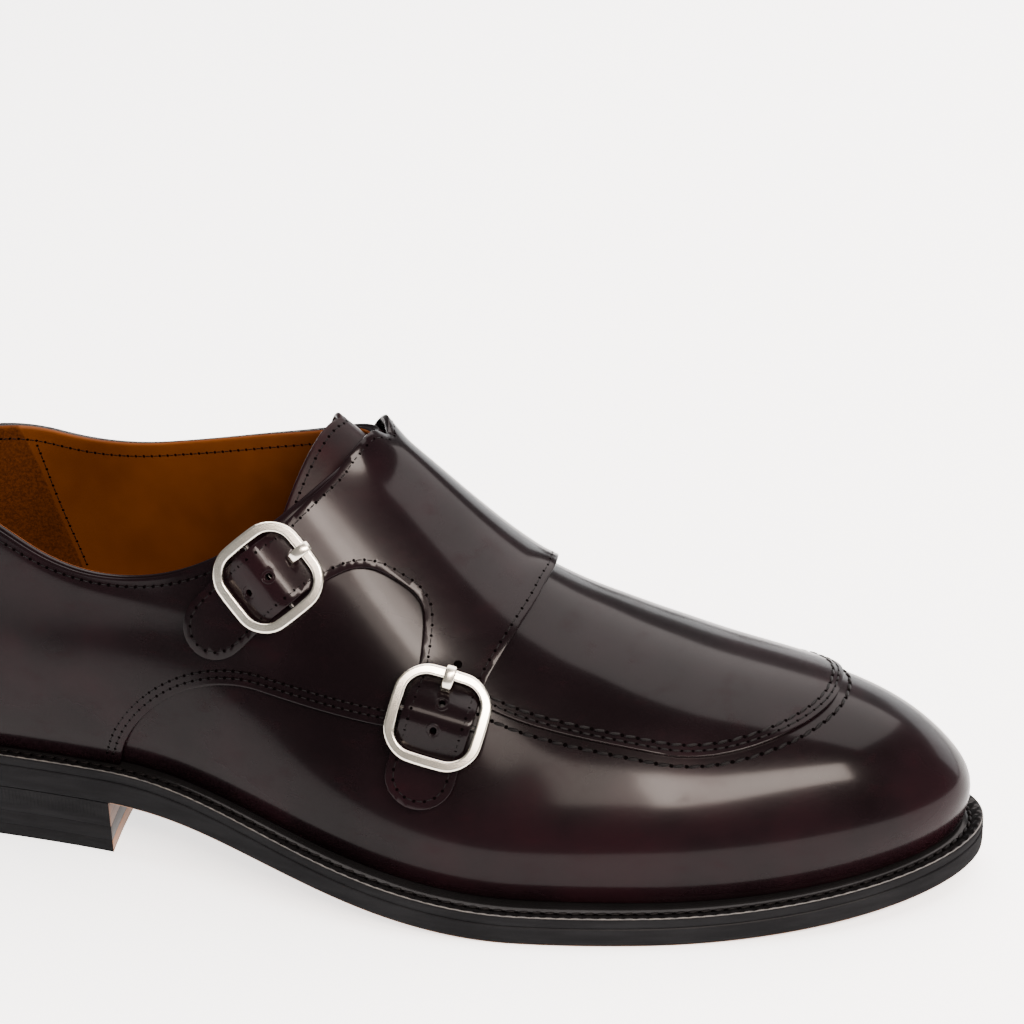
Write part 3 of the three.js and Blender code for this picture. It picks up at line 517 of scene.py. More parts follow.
def makeApron():
    def placing(u, v):
        a = 2 * v - 1
        a = (a + np.sin(a * np.pi / 2)) / 2
        x = apron['back'] + (apronFront(a) - apron['back']) * u
        points = lifted(x, a * apron['halfGirth'], np.full(len(x), leather['gap'] + leather['overlay'] / 2))
        return points + lastFrame(x, a * apron['halfGirth'])[2] * relief(points)[..., None]

    piece = laidGrid('apronPanel', apron['rows'], apron['across'], placing)
    finishPanel(piece, leather['overlay'], 0.4)
    return piece


tongue = dict(back=131, front=168, halfGirth=0.46, sweep=10.5, sweepPower=1.2)


def tongueBackAt(turn):
    return tongue['back'] - tongue['sweep'] * np.abs(turn / tongue['halfGirth']) ** tongue['sweepPower']


def makeTongue():
    def placing(u, v):
        turn = (2 * v - 1) * tongue['halfGirth']
        back = tongueBackAt(turn)
        x = back + (tongue['front'] - back) * u
        return lifted(x, turn, np.full(len(x), -leather['wall'] - 0.3 - leather['tongue'] / 2))

    piece = laidGrid('tonguePanel', 60, 90, placing)
    finishPanel(piece, leather['tongue'], 0.5)
    return piece


# straps: their roots and tips as place and turn, and where each buckle sits between them
straps = dict(
    rear=dict(root=(131, -0.434), tip=(101, -0.80), buckle=0.375, holes=(-7.4, -0.4, 6.0)),
    front=dict(root=(168.8, -0.44), tip=(161.8, -0.775), buckle=0.425, holes=(-8.4, -3.4, 3.2)),
)
buckle = dict(bar=2.9, thick=2.2, ride=0.95, centreBar=2.2, barSeat=0.2,
              crestRide=1.05, crest=6.5, crestFade=6)
strap = dict(width=18, tabStart=0.8, low=leather['gap'] * 2 + leather['overlay'])
buckleLow = strap['low'] + leather['strap'] + buckle['ride']
strapLift = buckle['barSeat'] + buckle['centreBar'] + buckle['crestRide']


def strapFrame(name, share):
    # origin, across the strap, down it, and out of the leather
    root, tip = np.array(straps[name]['root']), np.array(straps[name]['tip'])
    x, turn = root + (tip - root) * share
    x, turn = np.array([x]), np.array([turn])
    origin, out = lastPoint(x, turn)[0], lastFrame(x, turn)[2][0]
    step = (tip - root) * 0.01
    down = (lastPoint(x + step[0], turn + step[1]) - lastPoint(x - step[0], turn - step[1]))[0]
    down = unit(down - out * down.dot(out))
    return dict(origin=origin, out=out, down=down, across=np.cross(down, out), x=x[0], turn=turn[0])


buckleFrames = {name: strapFrame(name, straps[name]['buckle']) for name in straps}


def strapOffset(x, turn):
    here = lastPoint(x, turn)
    lift = np.zeros(np.shape(x))
    for f in buckleFrames.values():
        away = here - f['origin']
        along = away @ f['down']
        aside = np.maximum(np.abs(away @ f['across']) - strap['width'] / 2, 0)
        crest = bell(along, 0, buckle['crest']) * bell(aside, 0, buckle['crestFade'])
        lift = np.maximum(lift, strapLift * crest)
    return strap['low'] + lift


# the cuff's free edges: how far forward of its back or front at the ridge, and the turn
cuff = dict(back=137, front=186, grid=1.25, turnScale=72, lipRear=2.6, shoulder=0.13,
            shoulderSpread=0.09, crestSink=1.8, crestSpread=0.05, lipFront=1.3)
flapEdges = dict(
    outerBack=[(3.5, 0), (0.4, -0.08), (-3.2, -0.215), (-6, -0.30)],
    arch=[(4, -0.423), (13, -0.387), (21, -0.395)],
    outerFront=[(-6.2, -0.36), (-3.8, -0.28), (-1.5, -0.18), (-0.6, -0.09), (0, 0)],
    innerFront=[(-1.5, 0.20), (-4, 0.38), (-6, 0.55), (-9, 0.65), (-18, 0.70)],
    innerBack=[(4, 0.70), (-4, 0.66), (-7, 0.55), (-6, 0.38), (-2, 0.20), (3.5, 0)],
)


def flapEdge(name, x):
    return [(x + ahead, turn) for ahead, turn in flapEdges[name]]


def armEdge(name, start, end, side, steps=6):
    places = []
    for share in np.linspace(start, end, steps):
        f = strapFrame(name, share)
        target = f['origin'] + f['across'] * side * strap['width'] / 2
        x, turn = placeOf(target[None], np.array([f['x']]), np.array([f['turn']]))
        places.append((x[0], turn[0]))
    return places


def armTip(name, steps=14):
    f = strapFrame(name, strap['tabStart'])
    reach = np.linalg.norm(strapFrame(name, 1)['origin'] - f['origin'])
    places = []
    for angle in np.linspace(-np.pi / 2, np.pi / 2, steps):
        target = f['origin'] - f['across'] * np.sin(angle) * strap['width'] / 2
        target = target + f['down'] * np.cos(angle) * reach
        x, turn = placeOf(target[None], np.array([f['x']]), np.array([f['turn']]))
        places.append((x[0], turn[0]))
    return places


def smoothPath(places, step=0.9, closed=False, sharp=()):
    # a curve through given points, sampled evenly; sharp lists the points that stay corners
    points = np.array(places, float)
    scale = np.array([1.0, cuff['turnScale']])
    points = points * scale
    count = len(points)
    out = []
    for i in range(count if closed else count - 1):
        p1, p2 = points[i], points[(i + 1) % count]
        p0 = points[i - 1] if (closed or i > 0) and i not in sharp else 2 * p1 - p2
        after = (i + 2) % count
        p3 = points[after] if (closed or i + 2 < count) and (i + 1) % count not in sharp else 2 * p2 - p1
        steps = max(int(np.linalg.norm(p2 - p1) / step), 1)
        for t in np.arange(steps) / steps:
            out.append(0.5 * (2 * p1 + (p2 - p0) * t + (2 * p0 - 5 * p1 + 4 * p2 - p3) * t ** 2
                              + (3 * p1 - p0 - 3 * p2 + p3) * t ** 3))
    if not closed:
        out.append(points[-1])
    return np.array(out) / scale


def evenPath(path, step):
    # the same path with points an even real distance apart
    points = lastPoint(path[:, 0], path[:, 1])
    along = np.concatenate([[0], np.cumsum(np.linalg.norm(np.diff(points, axis=0), axis=1))])
    count = max(int(round(along[-1] / step)), 2)
    at = np.linspace(0, along[-1], count + 1)
    return np.stack([np.interp(at, along, path[:, 0]), np.interp(at, along, path[:, 1])], -1)


def insetPath(path, inset):
    # moved sideways over the leather: to the left of its own way is positive
    points = lastPoint(path[:, 0], path[:, 1])
    way = unit(np.gradient(points, axis=0))
    normal = lastFrame(path[:, 0], path[:, 1])[2]
    x, turn = placeOf(points + np.cross(normal, way) * inset, path[:, 0], path[:, 1])
    return np.stack([x, turn], -1)


def cuffOutline():
    pieces = [flapEdge('outerBack', cuff['back']), armEdge('rear', 0.1, 0.78, 1), armTip('rear'),
              armEdge('rear', 0.78, 0.22, -1), flapEdge('arch', cuff['back']),
              armEdge('front', 0.12, 0.78, 1), armTip('front'), armEdge('front', 0.78, 0.1, -1),
              flapEdge('outerFront', cuff['front']),
              flapEdge('innerFront', cuff['front']), flapEdge('innerBack', cuff['back'])[:-1]]
    return smoothPath([place for part in pieces for place in part], closed=True)


def circlePlaces(f, along, radius, steps=12):
    # a round hole in a strap, its middle this far down the strap from the buckle's middle
    places = []
    for angle in np.linspace(0, 2 * np.pi, steps, endpoint=False):
        target = f['origin'] + f['down'] * (along + radius * np.cos(angle))
        target = target + f['across'] * radius * np.sin(angle)
        x, turn = placeOf(target[None], np.array([f['x']]), np.array([f['turn']]))
        places.append((x[0], turn[0]))
    return np.array(places)


strapHoles = dict(radius=0.85, rim=1.75, rimThick=0.2)


def insideOf(points, outline):
    # even-odd test of many points against a closed outline
    x, y = points[:, 0][:, None], points[:, 1][:, None]
    x1, y1 = outline[:, 0], outline[:, 1]
    x2, y2 = np.roll(x1, -1), np.roll(y1, -1)
    crosses = ((y1 > y) != (y2 > y)) & (x < (x2 - x1) * (y - y1) / (y2 - y1 + 1e-12) + x1)
    return crosses.sum(1) % 2 == 1


def cuffLips(x, turn):
    # the free edges over the ridge stand off a little
    nearRear = 1 - smooth(cuff['back'] - 6, cuff['back'] + 9, x)
    shoulders = bell(np.abs(turn), cuff['shoulder'], cuff['shoulderSpread'])
    rear = nearRear * (cuff['lipRear'] * shoulders - cuff['crestSink'] * bell(turn, 0, cuff['crestSpread']))
    front = cuff['lipFront'] * smooth(cuff['front'] - 7, cuff['front'] + 1, x) * bell(turn, 0.02, 0.13)
    return rear + front


def makeCuff():
    scale = np.array([1.0, cuff['turnScale']])
    outline = cuffOutline() * scale
    holes = [circlePlaces(buckleFrames[name], along, strapHoles['radius']) * scale
             for name in straps for along in straps[name]['holes']]
    low, high = outline.min(0), outline.max(0)
    step = cuff['grid']
    xs, ys = np.meshgrid(np.arange(low[0], high[0], step), np.arange(low[1], high[1], step * 0.87))
    xs = xs + (np.arange(xs.shape[0])[:, None] % 2) * step / 2
    inner = np.stack([xs.ravel(), ys.ravel()], -1)
    inner = inner[insideOf(inner, outline)]
    for loop in [outline, *holes]:
        near = np.sqrt(((inner[:, None] - loop[None]) ** 2).sum(-1)).min(1)
        inner = inner[near > 0.6]
    for loop in holes:
        inner = inner[~insideOf(inner, loop)]
    points, edges = [outline], [[(i, (i + 1) % len(outline)) for i in range(len(outline))]]
    start = len(outline)
    for loop in holes:
        points.append(loop)
        edges.append([(start + i, start + (i + 1) % len(loop)) for i in range(len(loop))])
        start += len(loop)
    points.append(inner)
    flat = np.concatenate(points)
    cut = delaunay_2d_cdt([Vector(p) for p in flat], [e for part in edges for e in part], [], 0, 1e-5)
    verts, faces = np.array([tuple(v) for v in cut[0]]), [list(f) for f in cut[2]]
    centres = np.array([verts[f].mean(0) for f in faces])
    keep = insideOf(centres, outline)
    for loop in holes:
        keep &= ~insideOf(centres, loop)
    places = verts / scale
    x, turn = places[:, 0], places[:, 1]
    surface = lifted(x, turn, strapOffset(x, turn) + leather['strap'] / 2 + cuffLips(x, turn))
    piece = meshPiece('strapCuff', toFrame(surface), [f for f, k in zip(faces, keep) if k])
    pick(piece)
    bpy.ops.object.mode_set(mode='EDIT')
    bpy.ops.mesh.select_all(action='SELECT')
    bpy.ops.mesh.delete_loose()
    bpy.ops.object.mode_set(mode='OBJECT')
    finishPanel(piece, leather['strap'], 0.45)
    return piece


# the sole's edge in plan, moved in by an inset; u runs once round from the heel's back
def soleEdge(u, inset, inner=0):
    def raw(u):
        run = np.mod(2 * u, 2)
        side = np.where(run <= 1, -1.0, 1.0)
        along = np.where(run <= 1, run, 2 - run)
        x = last['length'] * (1 - np.cos(np.pi * along)) / 2
        return np.stack([x, middle(x) + side * bareHalf(x) * endCaps(x, 0)], -1)

    here = raw(u)
    way = unit(raw(u + 0.0012) - raw(u - 0.0012))
    edge = here + np.stack([-way[..., 1], way[..., 0]], -1) * np.asarray(inset)[..., None]
    x = np.clip(edge[..., 0], 3, last['length'] - 3)
    spine = np.stack([x, middle(x)], -1)
    return edge + (spine - edge) * np.asarray(inner)[..., None]


def throughRows(rows, v):
    # rows of a profile laid evenly from 0 to 1
    place = v * (len(rows) - 1)
    return [np.interp(place, np.arange(len(rows)), [row[k] for row in rows]) for k in range(len(rows[0]))]


# profile rows: inset from the edge, share of the way to the middle, height share, height in mm
soleForm = dict(around=620, rows=[
    (9, 1, 0, 0), (9, 0.5, 0, 0), (9, 0, 0, 0), (2.5, 0, 0, 0), (0.75, 0, 0, 0), (0.3, 0, 0, 0.16),
    (0.05, 0, 0, 0.5),
    (0, 0, 0, 1.0), (-0.04, 0, 0.3, 0), (-0.05, 0, 0.55, 0), (0, 0, 0.8, 0), (0, 0, 1, -0.35),
    (0.2, 0, 1, -0.08),
    (0.6, 0, 1, 0), (14, 0, 1, 0), (14, 1, 1, 0)])


def makeSole():
    def placing(u, v):
        inset, inner, share, height = throughRows(soleForm['rows'], v)
        plan = soleEdge(u, inset, inner)
        x = np.clip(plan[:, 0], 0, last['length'])
        low = groundZ(x)
        return np.stack([plan[:, 0], plan[:, 1], low + (soleTop(x) - low) * share + height], -1)

    piece = laidGrid('soleBody', soleForm['around'], len(soleForm['rows']) - 1, placing, weld=True)
    smoothShaded(piece, 35)
    return piece


# the welt: a ridged strip on the sole, its wheel marks pressed in between the stitches
weltForm = dict(around=2080, pitch=3.4, inset=0.1, mark=0.55, markSharp=2.2, threadSink=0.72, rows=[
    (0.25, 0.0), (0.0, 0.25), (0.0, 0.7), (0.12, 0.93), (0.4, 1.0), (0.9, 1.03), (1.4, 1.02), (1.9, 0.97),
    (2.5, 0.86), (3.1, 0.72), (3.7, 0.68), (4.4, 0.86), (5.0, 0.96), (5.8, 1.0), (12.0, 1.0), (12.0, 0.0)])


def makeWelt():
    turns = np.linspace(0, 1, 4001)
    edge = soleEdge(turns, np.full(4001, 2.0))
    length = np.concatenate([[0], np.cumsum(np.linalg.norm(np.diff(edge, axis=0), axis=1))])
    count = round(length[-1] / weltForm['pitch'])

    def placing(u, v):
        # points evenly spaced along the edge, so the marks are too
        turn = np.interp(u * length[-1], length, turns)
        inset, share = throughRows(weltForm['rows'], v)
        plan = soleEdge(turn, weltForm['inset'] + inset)
        low = soleTop(plan[:, 0])
        beads = (0.5 + 0.5 * np.cos(2 * np.pi * u * count)) ** weltForm['markSharp']
        marks = weltForm['mark'] * beads * bell(inset, 1.5, 0.8)
        height = (weltTop(plan[:, 0]) - low) * share - marks
        return np.stack([plan[:, 0], plan[:, 1], low + height], -1)

    piece = laidGrid('weltStrip', weltForm['around'], len(weltForm['rows']) - 1, placing, weld=True)
    smoothShaded(piece, 50)
    return piece, turns, length, count


# heel layers: one painted slope outside, three colours on the hollowed breast
heelForm = dict(sides=96, breast=32, slope=1.6, inset=0.15, hollow=3.0, edge=0.12)
heelLayers = dict(heelTopPiece=(0, 3.75), heelLift=(3.75, 8.25), heelStack=(8.25, 16.02))


def heelOutline(share, z):
    # share runs from one breast corner round the back to the other, then across the breast
    inset = heelForm['inset'] + heelForm['slope'] * (1 - z / last['heelHeight'])
    full = heelForm['sides'] / (heelForm['sides'] + heelForm['breast'])
    around = clamp01(share / full)
    run = np.abs(1 - 2 * around)
    x = inset + (last['breast'] - inset) * (1 - np.cos(np.pi / 2 * run))
    a = clamp01((x - inset) / (last['heelRadius'] - inset))
    width = np.maximum((bareHalf(x)) * np.sqrt(1 - (1 - a) ** 2) - inset, 0)
    side = np.where(around <= 0.5, 1.0, -1.0)
    y = middle(x) + side * width
    across = clamp01((share - full) / (1 - full))
    edgeX = np.full_like(x, last['breast'])
    half = bareHalf(edgeX) - inset
    onBreast = share > full
    y = np.where(onBreast, middle(edgeX) + half * (2 * across - 1), y)
    x = np.where(onBreast, last['breast'] - heelForm['hollow'] * np.sin(np.pi * across), x)
    return x, y


def makeHeelLayer(name, low, high):
    around = heelForm['sides'] + heelForm['breast']
    levels = [(1, low), (0, low), (0, low + (high - low) * 0.5), (0, high), (1, high)]

    def placing(u, v):
        centre, z = throughRows(levels, v)
        x, y = heelOutline(u, z)
        return np.stack([x + (40 - x) * centre, y + (-1.4 - y) * centre, z], -1)

    piece = laidGrid(name, around, len(levels) - 1, placing, weld=True)
    applied(piece, 'BEVEL', width=heelForm['edge'] * mm, segments=2, limit_method='ANGLE',
            angle_limit=math.radians(50), use_clamp_overlap=True)
    smoothShaded(piece, 40)
    return piece


insoleForm = dict(inset=3.2, thick=3.0, gap=0.9)


def makeInsole():
    # the sock over the insole, filling the floor of the shoe
    def placing(u, v):
        x = soleEdge(u, np.zeros_like(u))[:, 0]
        inset = ballWidth * section('inset', x) + leather['wall'] + insoleForm['gap']
        plan = soleEdge(u, inset, 1 - v)
        x = plan[:, 0]
        z = featherZ(x) + insoleForm['thick'] / 2
        return np.stack([x, plan[:, 1], z], -1)

    piece = laidGrid('insoleSock', 240, 26, placing, weld=True)
    applied(piece, 'SOLIDIFY', thickness=(insoleForm['thick'] - 0.4) * mm, offset=0.0)
    smoothShaded(piece, 50)
    return piece


def bowed(f):
    # how far the leather falls away from the strap's plane: across, along and in a twist
    reach = 10
    drops = {}
    for a in (-1, 0, 1):
        for d in (-1, 0, 1):
            target = f['origin'] + (f['across'] * a + f['down'] * d) * reach
            x, turn = placeOf(target[None], np.array([f['x']]), np.array([f['turn']]))
            drops[a, d] = float((lastPoint(x, turn)[0] - f['origin']) @ f['out'])
    across = (drops[1, 0] + drops[-1, 0]) / 2 / reach ** 2
    along = (drops[0, 1] + drops[0, -1]) / 2 / reach ** 2
    twist = (drops[1, 1] + drops[-1, -1] - drops[1, -1] - drops[-1, 1]) / 4 / reach ** 2
    return lambda a, d: across * a * a + along * d * d + twist * a * d


def onStrap(f, bowing, flat):
    # from a buckle's own plane (across, down, out) in millimetres to the frame
    a, d, out = flat[:, 0], flat[:, 1], flat[:, 2]
    fall = bowing(a, d)
    placed = f['origin'] + a[:, None] * f['across'] + d[:, None] * f['down']
    return toFrame(placed + (out + fall)[:, None] * f['out'])


frameForm = dict(width=25.4, length=25.6, corner=7.9, bow=0.75, edge=0.75, prongWidth=2.1,
                 prongThick=1.25, barWide=1.5, barLong=21)


def makeBuckleFrame(name):
    f = buckleFrames[name]
    deselectAll()
    bpy.ops.mesh.primitive_plane_add(size=1)
    piece = bpy.context.object
    piece.name = 'buckleFrame' + name.title()
    bpy.ops.object.mode_set(mode='EDIT')
    bpy.ops.mesh.select_mode(type='FACE')
    bpy.ops.mesh.select_all(action='SELECT')
    bpy.ops.transform.resize(value=(frameForm['width'], frameForm['length'], 1), center_override=(0, 0, 0))
    bpy.ops.mesh.bevel(offset=frameForm['corner'], segments=9, affect='VERTICES', clamp_overlap=True)
    bpy.ops.mesh.select_all(action='SELECT')
    bpy.ops.mesh.inset(thickness=buckle['bar'], use_even_offset=True)
    bpy.ops.mesh.delete(type='FACE')
    bpy.ops.mesh.select_all(action='SELECT')
    bpy.ops.mesh.subdivide(number_cuts=3)
    bpy.ops.object.mode_set(mode='OBJECT')
    flat = coordinates(piece)
    # the sides are bowed out a little
    half = np.array([frameForm['width'], frameForm['length']]) / 2
    share = flat[:, :2] / half
    flat[:, :2] *= 1 + frameForm['bow'] / half * (0.4 - share[:, ::-1] ** 2)
    setCoordinates(piece, flat * mm)
    applied(piece, 'SOLIDIFY', thickness=buckle['thick'] * mm, offset=-1.0, use_even_offset=True)
    applied(piece, 'BEVEL', width=frameForm['edge'] * mm, segments=4, limit_method='ANGLE',
            angle_limit=math.radians(50), use_clamp_overlap=True)
    flat = coordinates(piece) / mm
    flat[:, 2] += buckleLow + buckle['thick'] - flat[:, 2].max()
    setCoordinates(piece, onStrap(f, bowed(f), flat))
    smoothShaded(piece, 60)
    return piece


def makeProng(name):
    # a short flat tongue of metal that lies over the frame's upper bar
    f = buckleFrames[name]
    bar = -frameForm['length'] / 2
    top = buckleLow + buckle['thick']
    start = bar + buckle['bar'] + 1.7
    line = [(start + 0.2, top - 2.8), (start - 0.2, top - 1.3), (start - 0.7, top - 0.4),
            (start - 1.6, top + 0.05),
            (bar + 1.2, top + 0.15), (bar + 0.1, top + 0.1), (bar - 0.35, top - 0.3)]
    deselectAll()
    bpy.ops.mesh.primitive_grid_add(x_subdivisions=6, y_subdivisions=len(line) - 1, size=1)
    piece = bpy.context.object
    piece.name = 'buckleProng' + name.title()
    flat = coordinates(piece) + 0.5
    row = np.round(flat[:, 1] * (len(line) - 1)).astype(int)
    line = np.array(line)
    wide = frameForm['prongWidth'] * np.interp(row, [0, 4, len(line) - 1], [1, 1, 0.92])
    crown = 0.22 * (1 - (2 * flat[:, 0] - 1) ** 2)
    lying = np.stack([(flat[:, 0] - 0.5) * wide, line[row, 0], line[row, 1] + crown], -1)
    setCoordinates(piece, lying * mm)
    flipIfInward(piece, (0, 0, 1))
    applied(piece, 'SOLIDIFY', thickness=frameForm['prongThick'] * mm, offset=1.0, use_even_offset=True)
    applied(piece, 'BEVEL', width=0.3 * mm, segments=3, limit_method='ANGLE', angle_limit=math.radians(50))
    setCoordinates(piece, onStrap(f, bowed(f), coordinates(piece) / mm))
    smoothShaded(piece, 60)
    # the bar that the strap runs over; its near-black colour is painted shade for the dark gap it sits in
    deselectAll()
    bpy.ops.mesh.primitive_cylinder_add(vertices=16, radius=frameForm['barWide'] / 2 * mm,
                                        depth=frameForm['barLong'] * mm)
    bar = bpy.context.object
    stick = coordinates(bar) / mm
    low = strap['low'] + buckle['barSeat'] + frameForm['barWide'] / 2
    setCoordinates(bar, onStrap(f, bowed(f), np.stack([stick[:, 2], stick[:, 0], stick[:, 1] + low], -1)))
    smoothShaded(bar, 60)
    dressed(piece, [metal, barShadeMetal])
    dressed(bar, [metal, barShadeMetal], np.ones(len(bar.data.polygons)))
    pick(piece)
    bar.select_set(True)
    bpy.ops.object.join()
    return piece


# sewing: a stitch and a near-black disc of painted shade for its needle hole, repeated along a path over the
# leather
def threadTemplate():
    deselectAll()
    bpy.ops.mesh.primitive_uv_sphere_add(segments=8, ring_count=5, radius=1)
    ball = bpy.context.object
    points, faces = coordinates(ball), [list(p.vertices) for p in ball.data.polygons]
    bpy.data.objects.remove(ball)
    # fuller towards both ends than an egg
    points[:, 0] = np.sign(points[:, 0]) * np.abs(points[:, 0]) ** 0.75
    return points, faces


stitchPoints, stitchFaces = threadTemplate()


def sewnRow(name, places, normals, wide=0.4, tall=0.3, share=0.66, hole=0.7, slant=0.0):
    # places are where the needle went through
    points, faces, kinds = [], [], []
    start = 0

    def add(centre, along, side, out, kind):
        nonlocal start
        lengthways, sideways, upward = np.split(stitchPoints, 3, axis=1)
        points.append(centre + lengthways * along + sideways * side + upward * out)
        faces.extend([start + i for i in face] for face in stitchFaces)
        kinds.extend([kind] * len(stitchFaces))
        start += len(stitchPoints)

    for i in range(len(places) - 1):
        step = places[i + 1] - places[i]
        out = unit(normals[i] + normals[i + 1])
        way = unit(step - out * step.dot(out))
        side = np.cross(out, way)
        lean = unit(way + side * slant)
        reach = np.linalg.norm(step) * share / 2
        centre = (places[i] + places[i + 1]) / 2 + out * tall * 0.15
        add(centre, lean * reach, np.cross(out, lean) * wide / 2, out * tall / 2, 0)
    # each needle place gets a flat near-black disc: painted shade for the hole the thread goes into
    for place, out in zip(places, normals):
        way = unit(np.cross(out, [0.3, 0.2, 1.0]))
        add(place - out * 0.02, way * hole / 2, np.cross(out, way) * hole / 2, out * 0.09, 1)
    piece = meshPiece(name, toFrame(np.concatenate(points)), faces)
    piece.data.polygons.foreach_set('material_index', kinds)
    smoothShaded(piece, 80)
    return piece


def sewnPath(name, path, off, pitch, inset=0.0, **look):
    # off may be a number or a function of place and turn
    if inset:
        path = insetPath(path, inset)
    path = evenPath(path, pitch)
    x, turn = path[:, 0], path[:, 1]
    height = off(x, turn) if callable(off) else np.full(len(x), float(off))
    normals = lastFrame(x, turn)[2]
    return sewnRow(name, lastPoint(x, turn) + normals * height[:, None], normals, **look)


panelTop = leather['gap'] + leather['overlay']


def apronEdgePath():
    # from under the cuff on the outer side, round the toe, to under the cuff on the inner side
    a = np.sin(np.linspace(-1, 1, 300) * np.pi / 2)
    front = np.stack([apronFront(a), a * apron['halfGirth']], -1)
    behind = np.linspace(apron['back'], apron['shoulder'], 40)[:-1]
    sides = [np.stack([behind, np.full(39, side * apron['halfGirth'])], -1) for side in (-1, 1)]
    return np.concatenate([sides[0], front, sides[1][::-1]])


def quarterEdgePath(side):
    x = np.concatenate([quarter['start'] + quarter['reach'] * (1 - np.cos(np.linspace(0.12, np.pi / 2, 90))),
                        np.linspace(quarter['start'] + quarter['reach'], quarter['front'] - 4, 40)[1:]])
    return np.stack(uprightPlace(x, side, quarterEdge(x) / rise(x)), -1)


def toplineRow(name, drop, off, pitch, outward=1, start=-0.9, end=0.9, **look):
    # stitches a set way below the topline, round the back from throat to throat
    run = np.mod(np.linspace(start, end, 500), 2)
    near = np.full(500, 0.97)
    per = np.linalg.norm(bend(*ribPoint(run, np.ones(500))) - bend(*ribPoint(run, near)), axis=1) / 0.03
    v = 1 - drop / per
    points = ribLifted(run, v, np.full(500, off))
    outs = unit(ribLifted(run, v, np.full(500, off + outward)) - points)
    along = np.concatenate([[0], np.cumsum(np.linalg.norm(np.diff(points, axis=0), axis=1))])
    at = np.linspace(0, along[-1], int(round(along[-1] / pitch)) + 1)
    even = [np.stack([np.interp(at, along, rows[:, k]) for k in range(3)], -1) for rows in (points, outs)]
    return sewnRow(name, even[0], unit(even[1]), **look)


# the seam inside, between the suede heel part and the smooth lining: it leans forward as it goes down
lining = dict(light=(0.082, 0.0225, 0.0022), mid=(0.058, 0.0150, 0.0014), suede=(0.016, 0.0038, 0.0006),
              seam=40.4, seamHeight=62, seamLean=0.31, seamGap=1.8)


def liningSeamRow(name, side):
    share = np.linspace(0.93, 0.40, 60)
    x = np.full(60, float(lining['seam']))
    for _ in range(6):
        here = lastPoint(*uprightPlace(x, side, toplineShare(x, side) * share))
        wanted = lining['seam'] - (here[:, 2] - lining['seamHeight']) * lining['seamLean'] + lining['seamGap']
        x = x + wanted - here[:, 0]
    path = evenPath(np.stack(uprightPlace(x, side, toplineShare(x, side) * share), -1), 2.6)
    normals = lastFrame(path[:, 0], path[:, 1])[2]
    places = lastPoint(path[:, 0], path[:, 1]) - normals * (leather['wall'] + 0.02)
    return sewnRow(name, places, -normals, **fine)


def cuffTop(x, turn):
    return strapOffset(x, turn) + leather['strap'] + cuffLips(x, turn)


# each row: its path, height over the last, spacing, distance from the edge, and the thread's look
fine = dict(wide=0.34, tall=0.16, share=0.62, hole=0.88)
heavy = dict(wide=1.0, tall=0.75, share=0.80, hole=1.15, slant=0.14)


def makeSeams():
    rows = [sewnPath('apronWallStitches', apronEdgePath(), 0.0, 4.0, -2.4, **heavy),
            sewnPath('apronRimStitches', apronEdgePath(), panelTop, 2.9, 1.3, wide=0.55, tall=0.34,
                     share=0.76, hole=0.8),
            sewnPath('apronInnerStitches', apronEdgePath(), panelTop, 4.0, 2.8, wide=0.8, tall=0.5,
                     share=0.78, hole=1.0, slant=0.12)]
    for side, word in ((-1, 'Outer'), (1, 'Inner')):
        for number, inset in enumerate((2.0, 3.9)):
            rows.append(sewnPath(f'quarterStitches{word}{number + 1}', quarterEdgePath(side), panelTop, 2.35,
                                 -side * inset, **fine))
    rows.append(toplineRow('toplineStitches', 2.7, panelTop - 0.2, 2.5, **fine))
    rows.append(toplineRow('liningStitches', 3.4, -leather['wall'] - 0.02, 2.5, -1, **fine))
    rows += [liningSeamRow(f'liningSeam{word}', side) for side, word in ((-1, 'Outer'), (1, 'Inner'))]
    rows.append(sewnPath('cuffStitches', cuffOutline(), cuffTop, 2.7, 2.0, **fine))
    # a wide near-black disc just past the frame's upper bar, where the prong goes in: painted shade of that
    # strap hole
    f = buckleFrames['front']
    spot = f['origin'] + f['down'] * (-frameForm['length'] / 2 - 1.5) - f['across'] * 0.8
    x, turn = placeOf(spot[None], np.array([f['x']]), np.array([f['turn']]))
    normal = lastFrame(x, turn)[2]
    place = lastPoint(x, turn) + normal * cuffTop(x, turn)[:, None]
    rows.append(sewnRow('prongHoleShade', place, normal, hole=2.4))
    back = np.linspace(-0.43, 0.43, 160)
    tongueRim = np.stack([tongueBackAt(back), back], -1)
    rows.append(sewnPath('tongueStitches', tongueRim, -leather['wall'] - 0.3, 2.6, -2.2, **fine))
    return rows


def makeWeltStitches():
    count = weltCount
    turn = np.interp(np.arange(count + 1) / count * weltLength[-1], weltLength, weltTurns)
    inset = weltForm['inset'] + 3.5
    plan = soleEdge(turn, np.full(count + 1, inset))
    high = weltTop(plan[:, 0]) - weltForm['threadSink']
    places = np.stack([plan[:, 0], plan[:, 1], high], -1)
    normals = np.tile([0.0, 0.0, 1.0], (count + 1, 1))
    return sewnRow('weltStitches', places, normals, wide=0.95, tall=0.75, share=0.86, hole=1.0, slant=0.16)


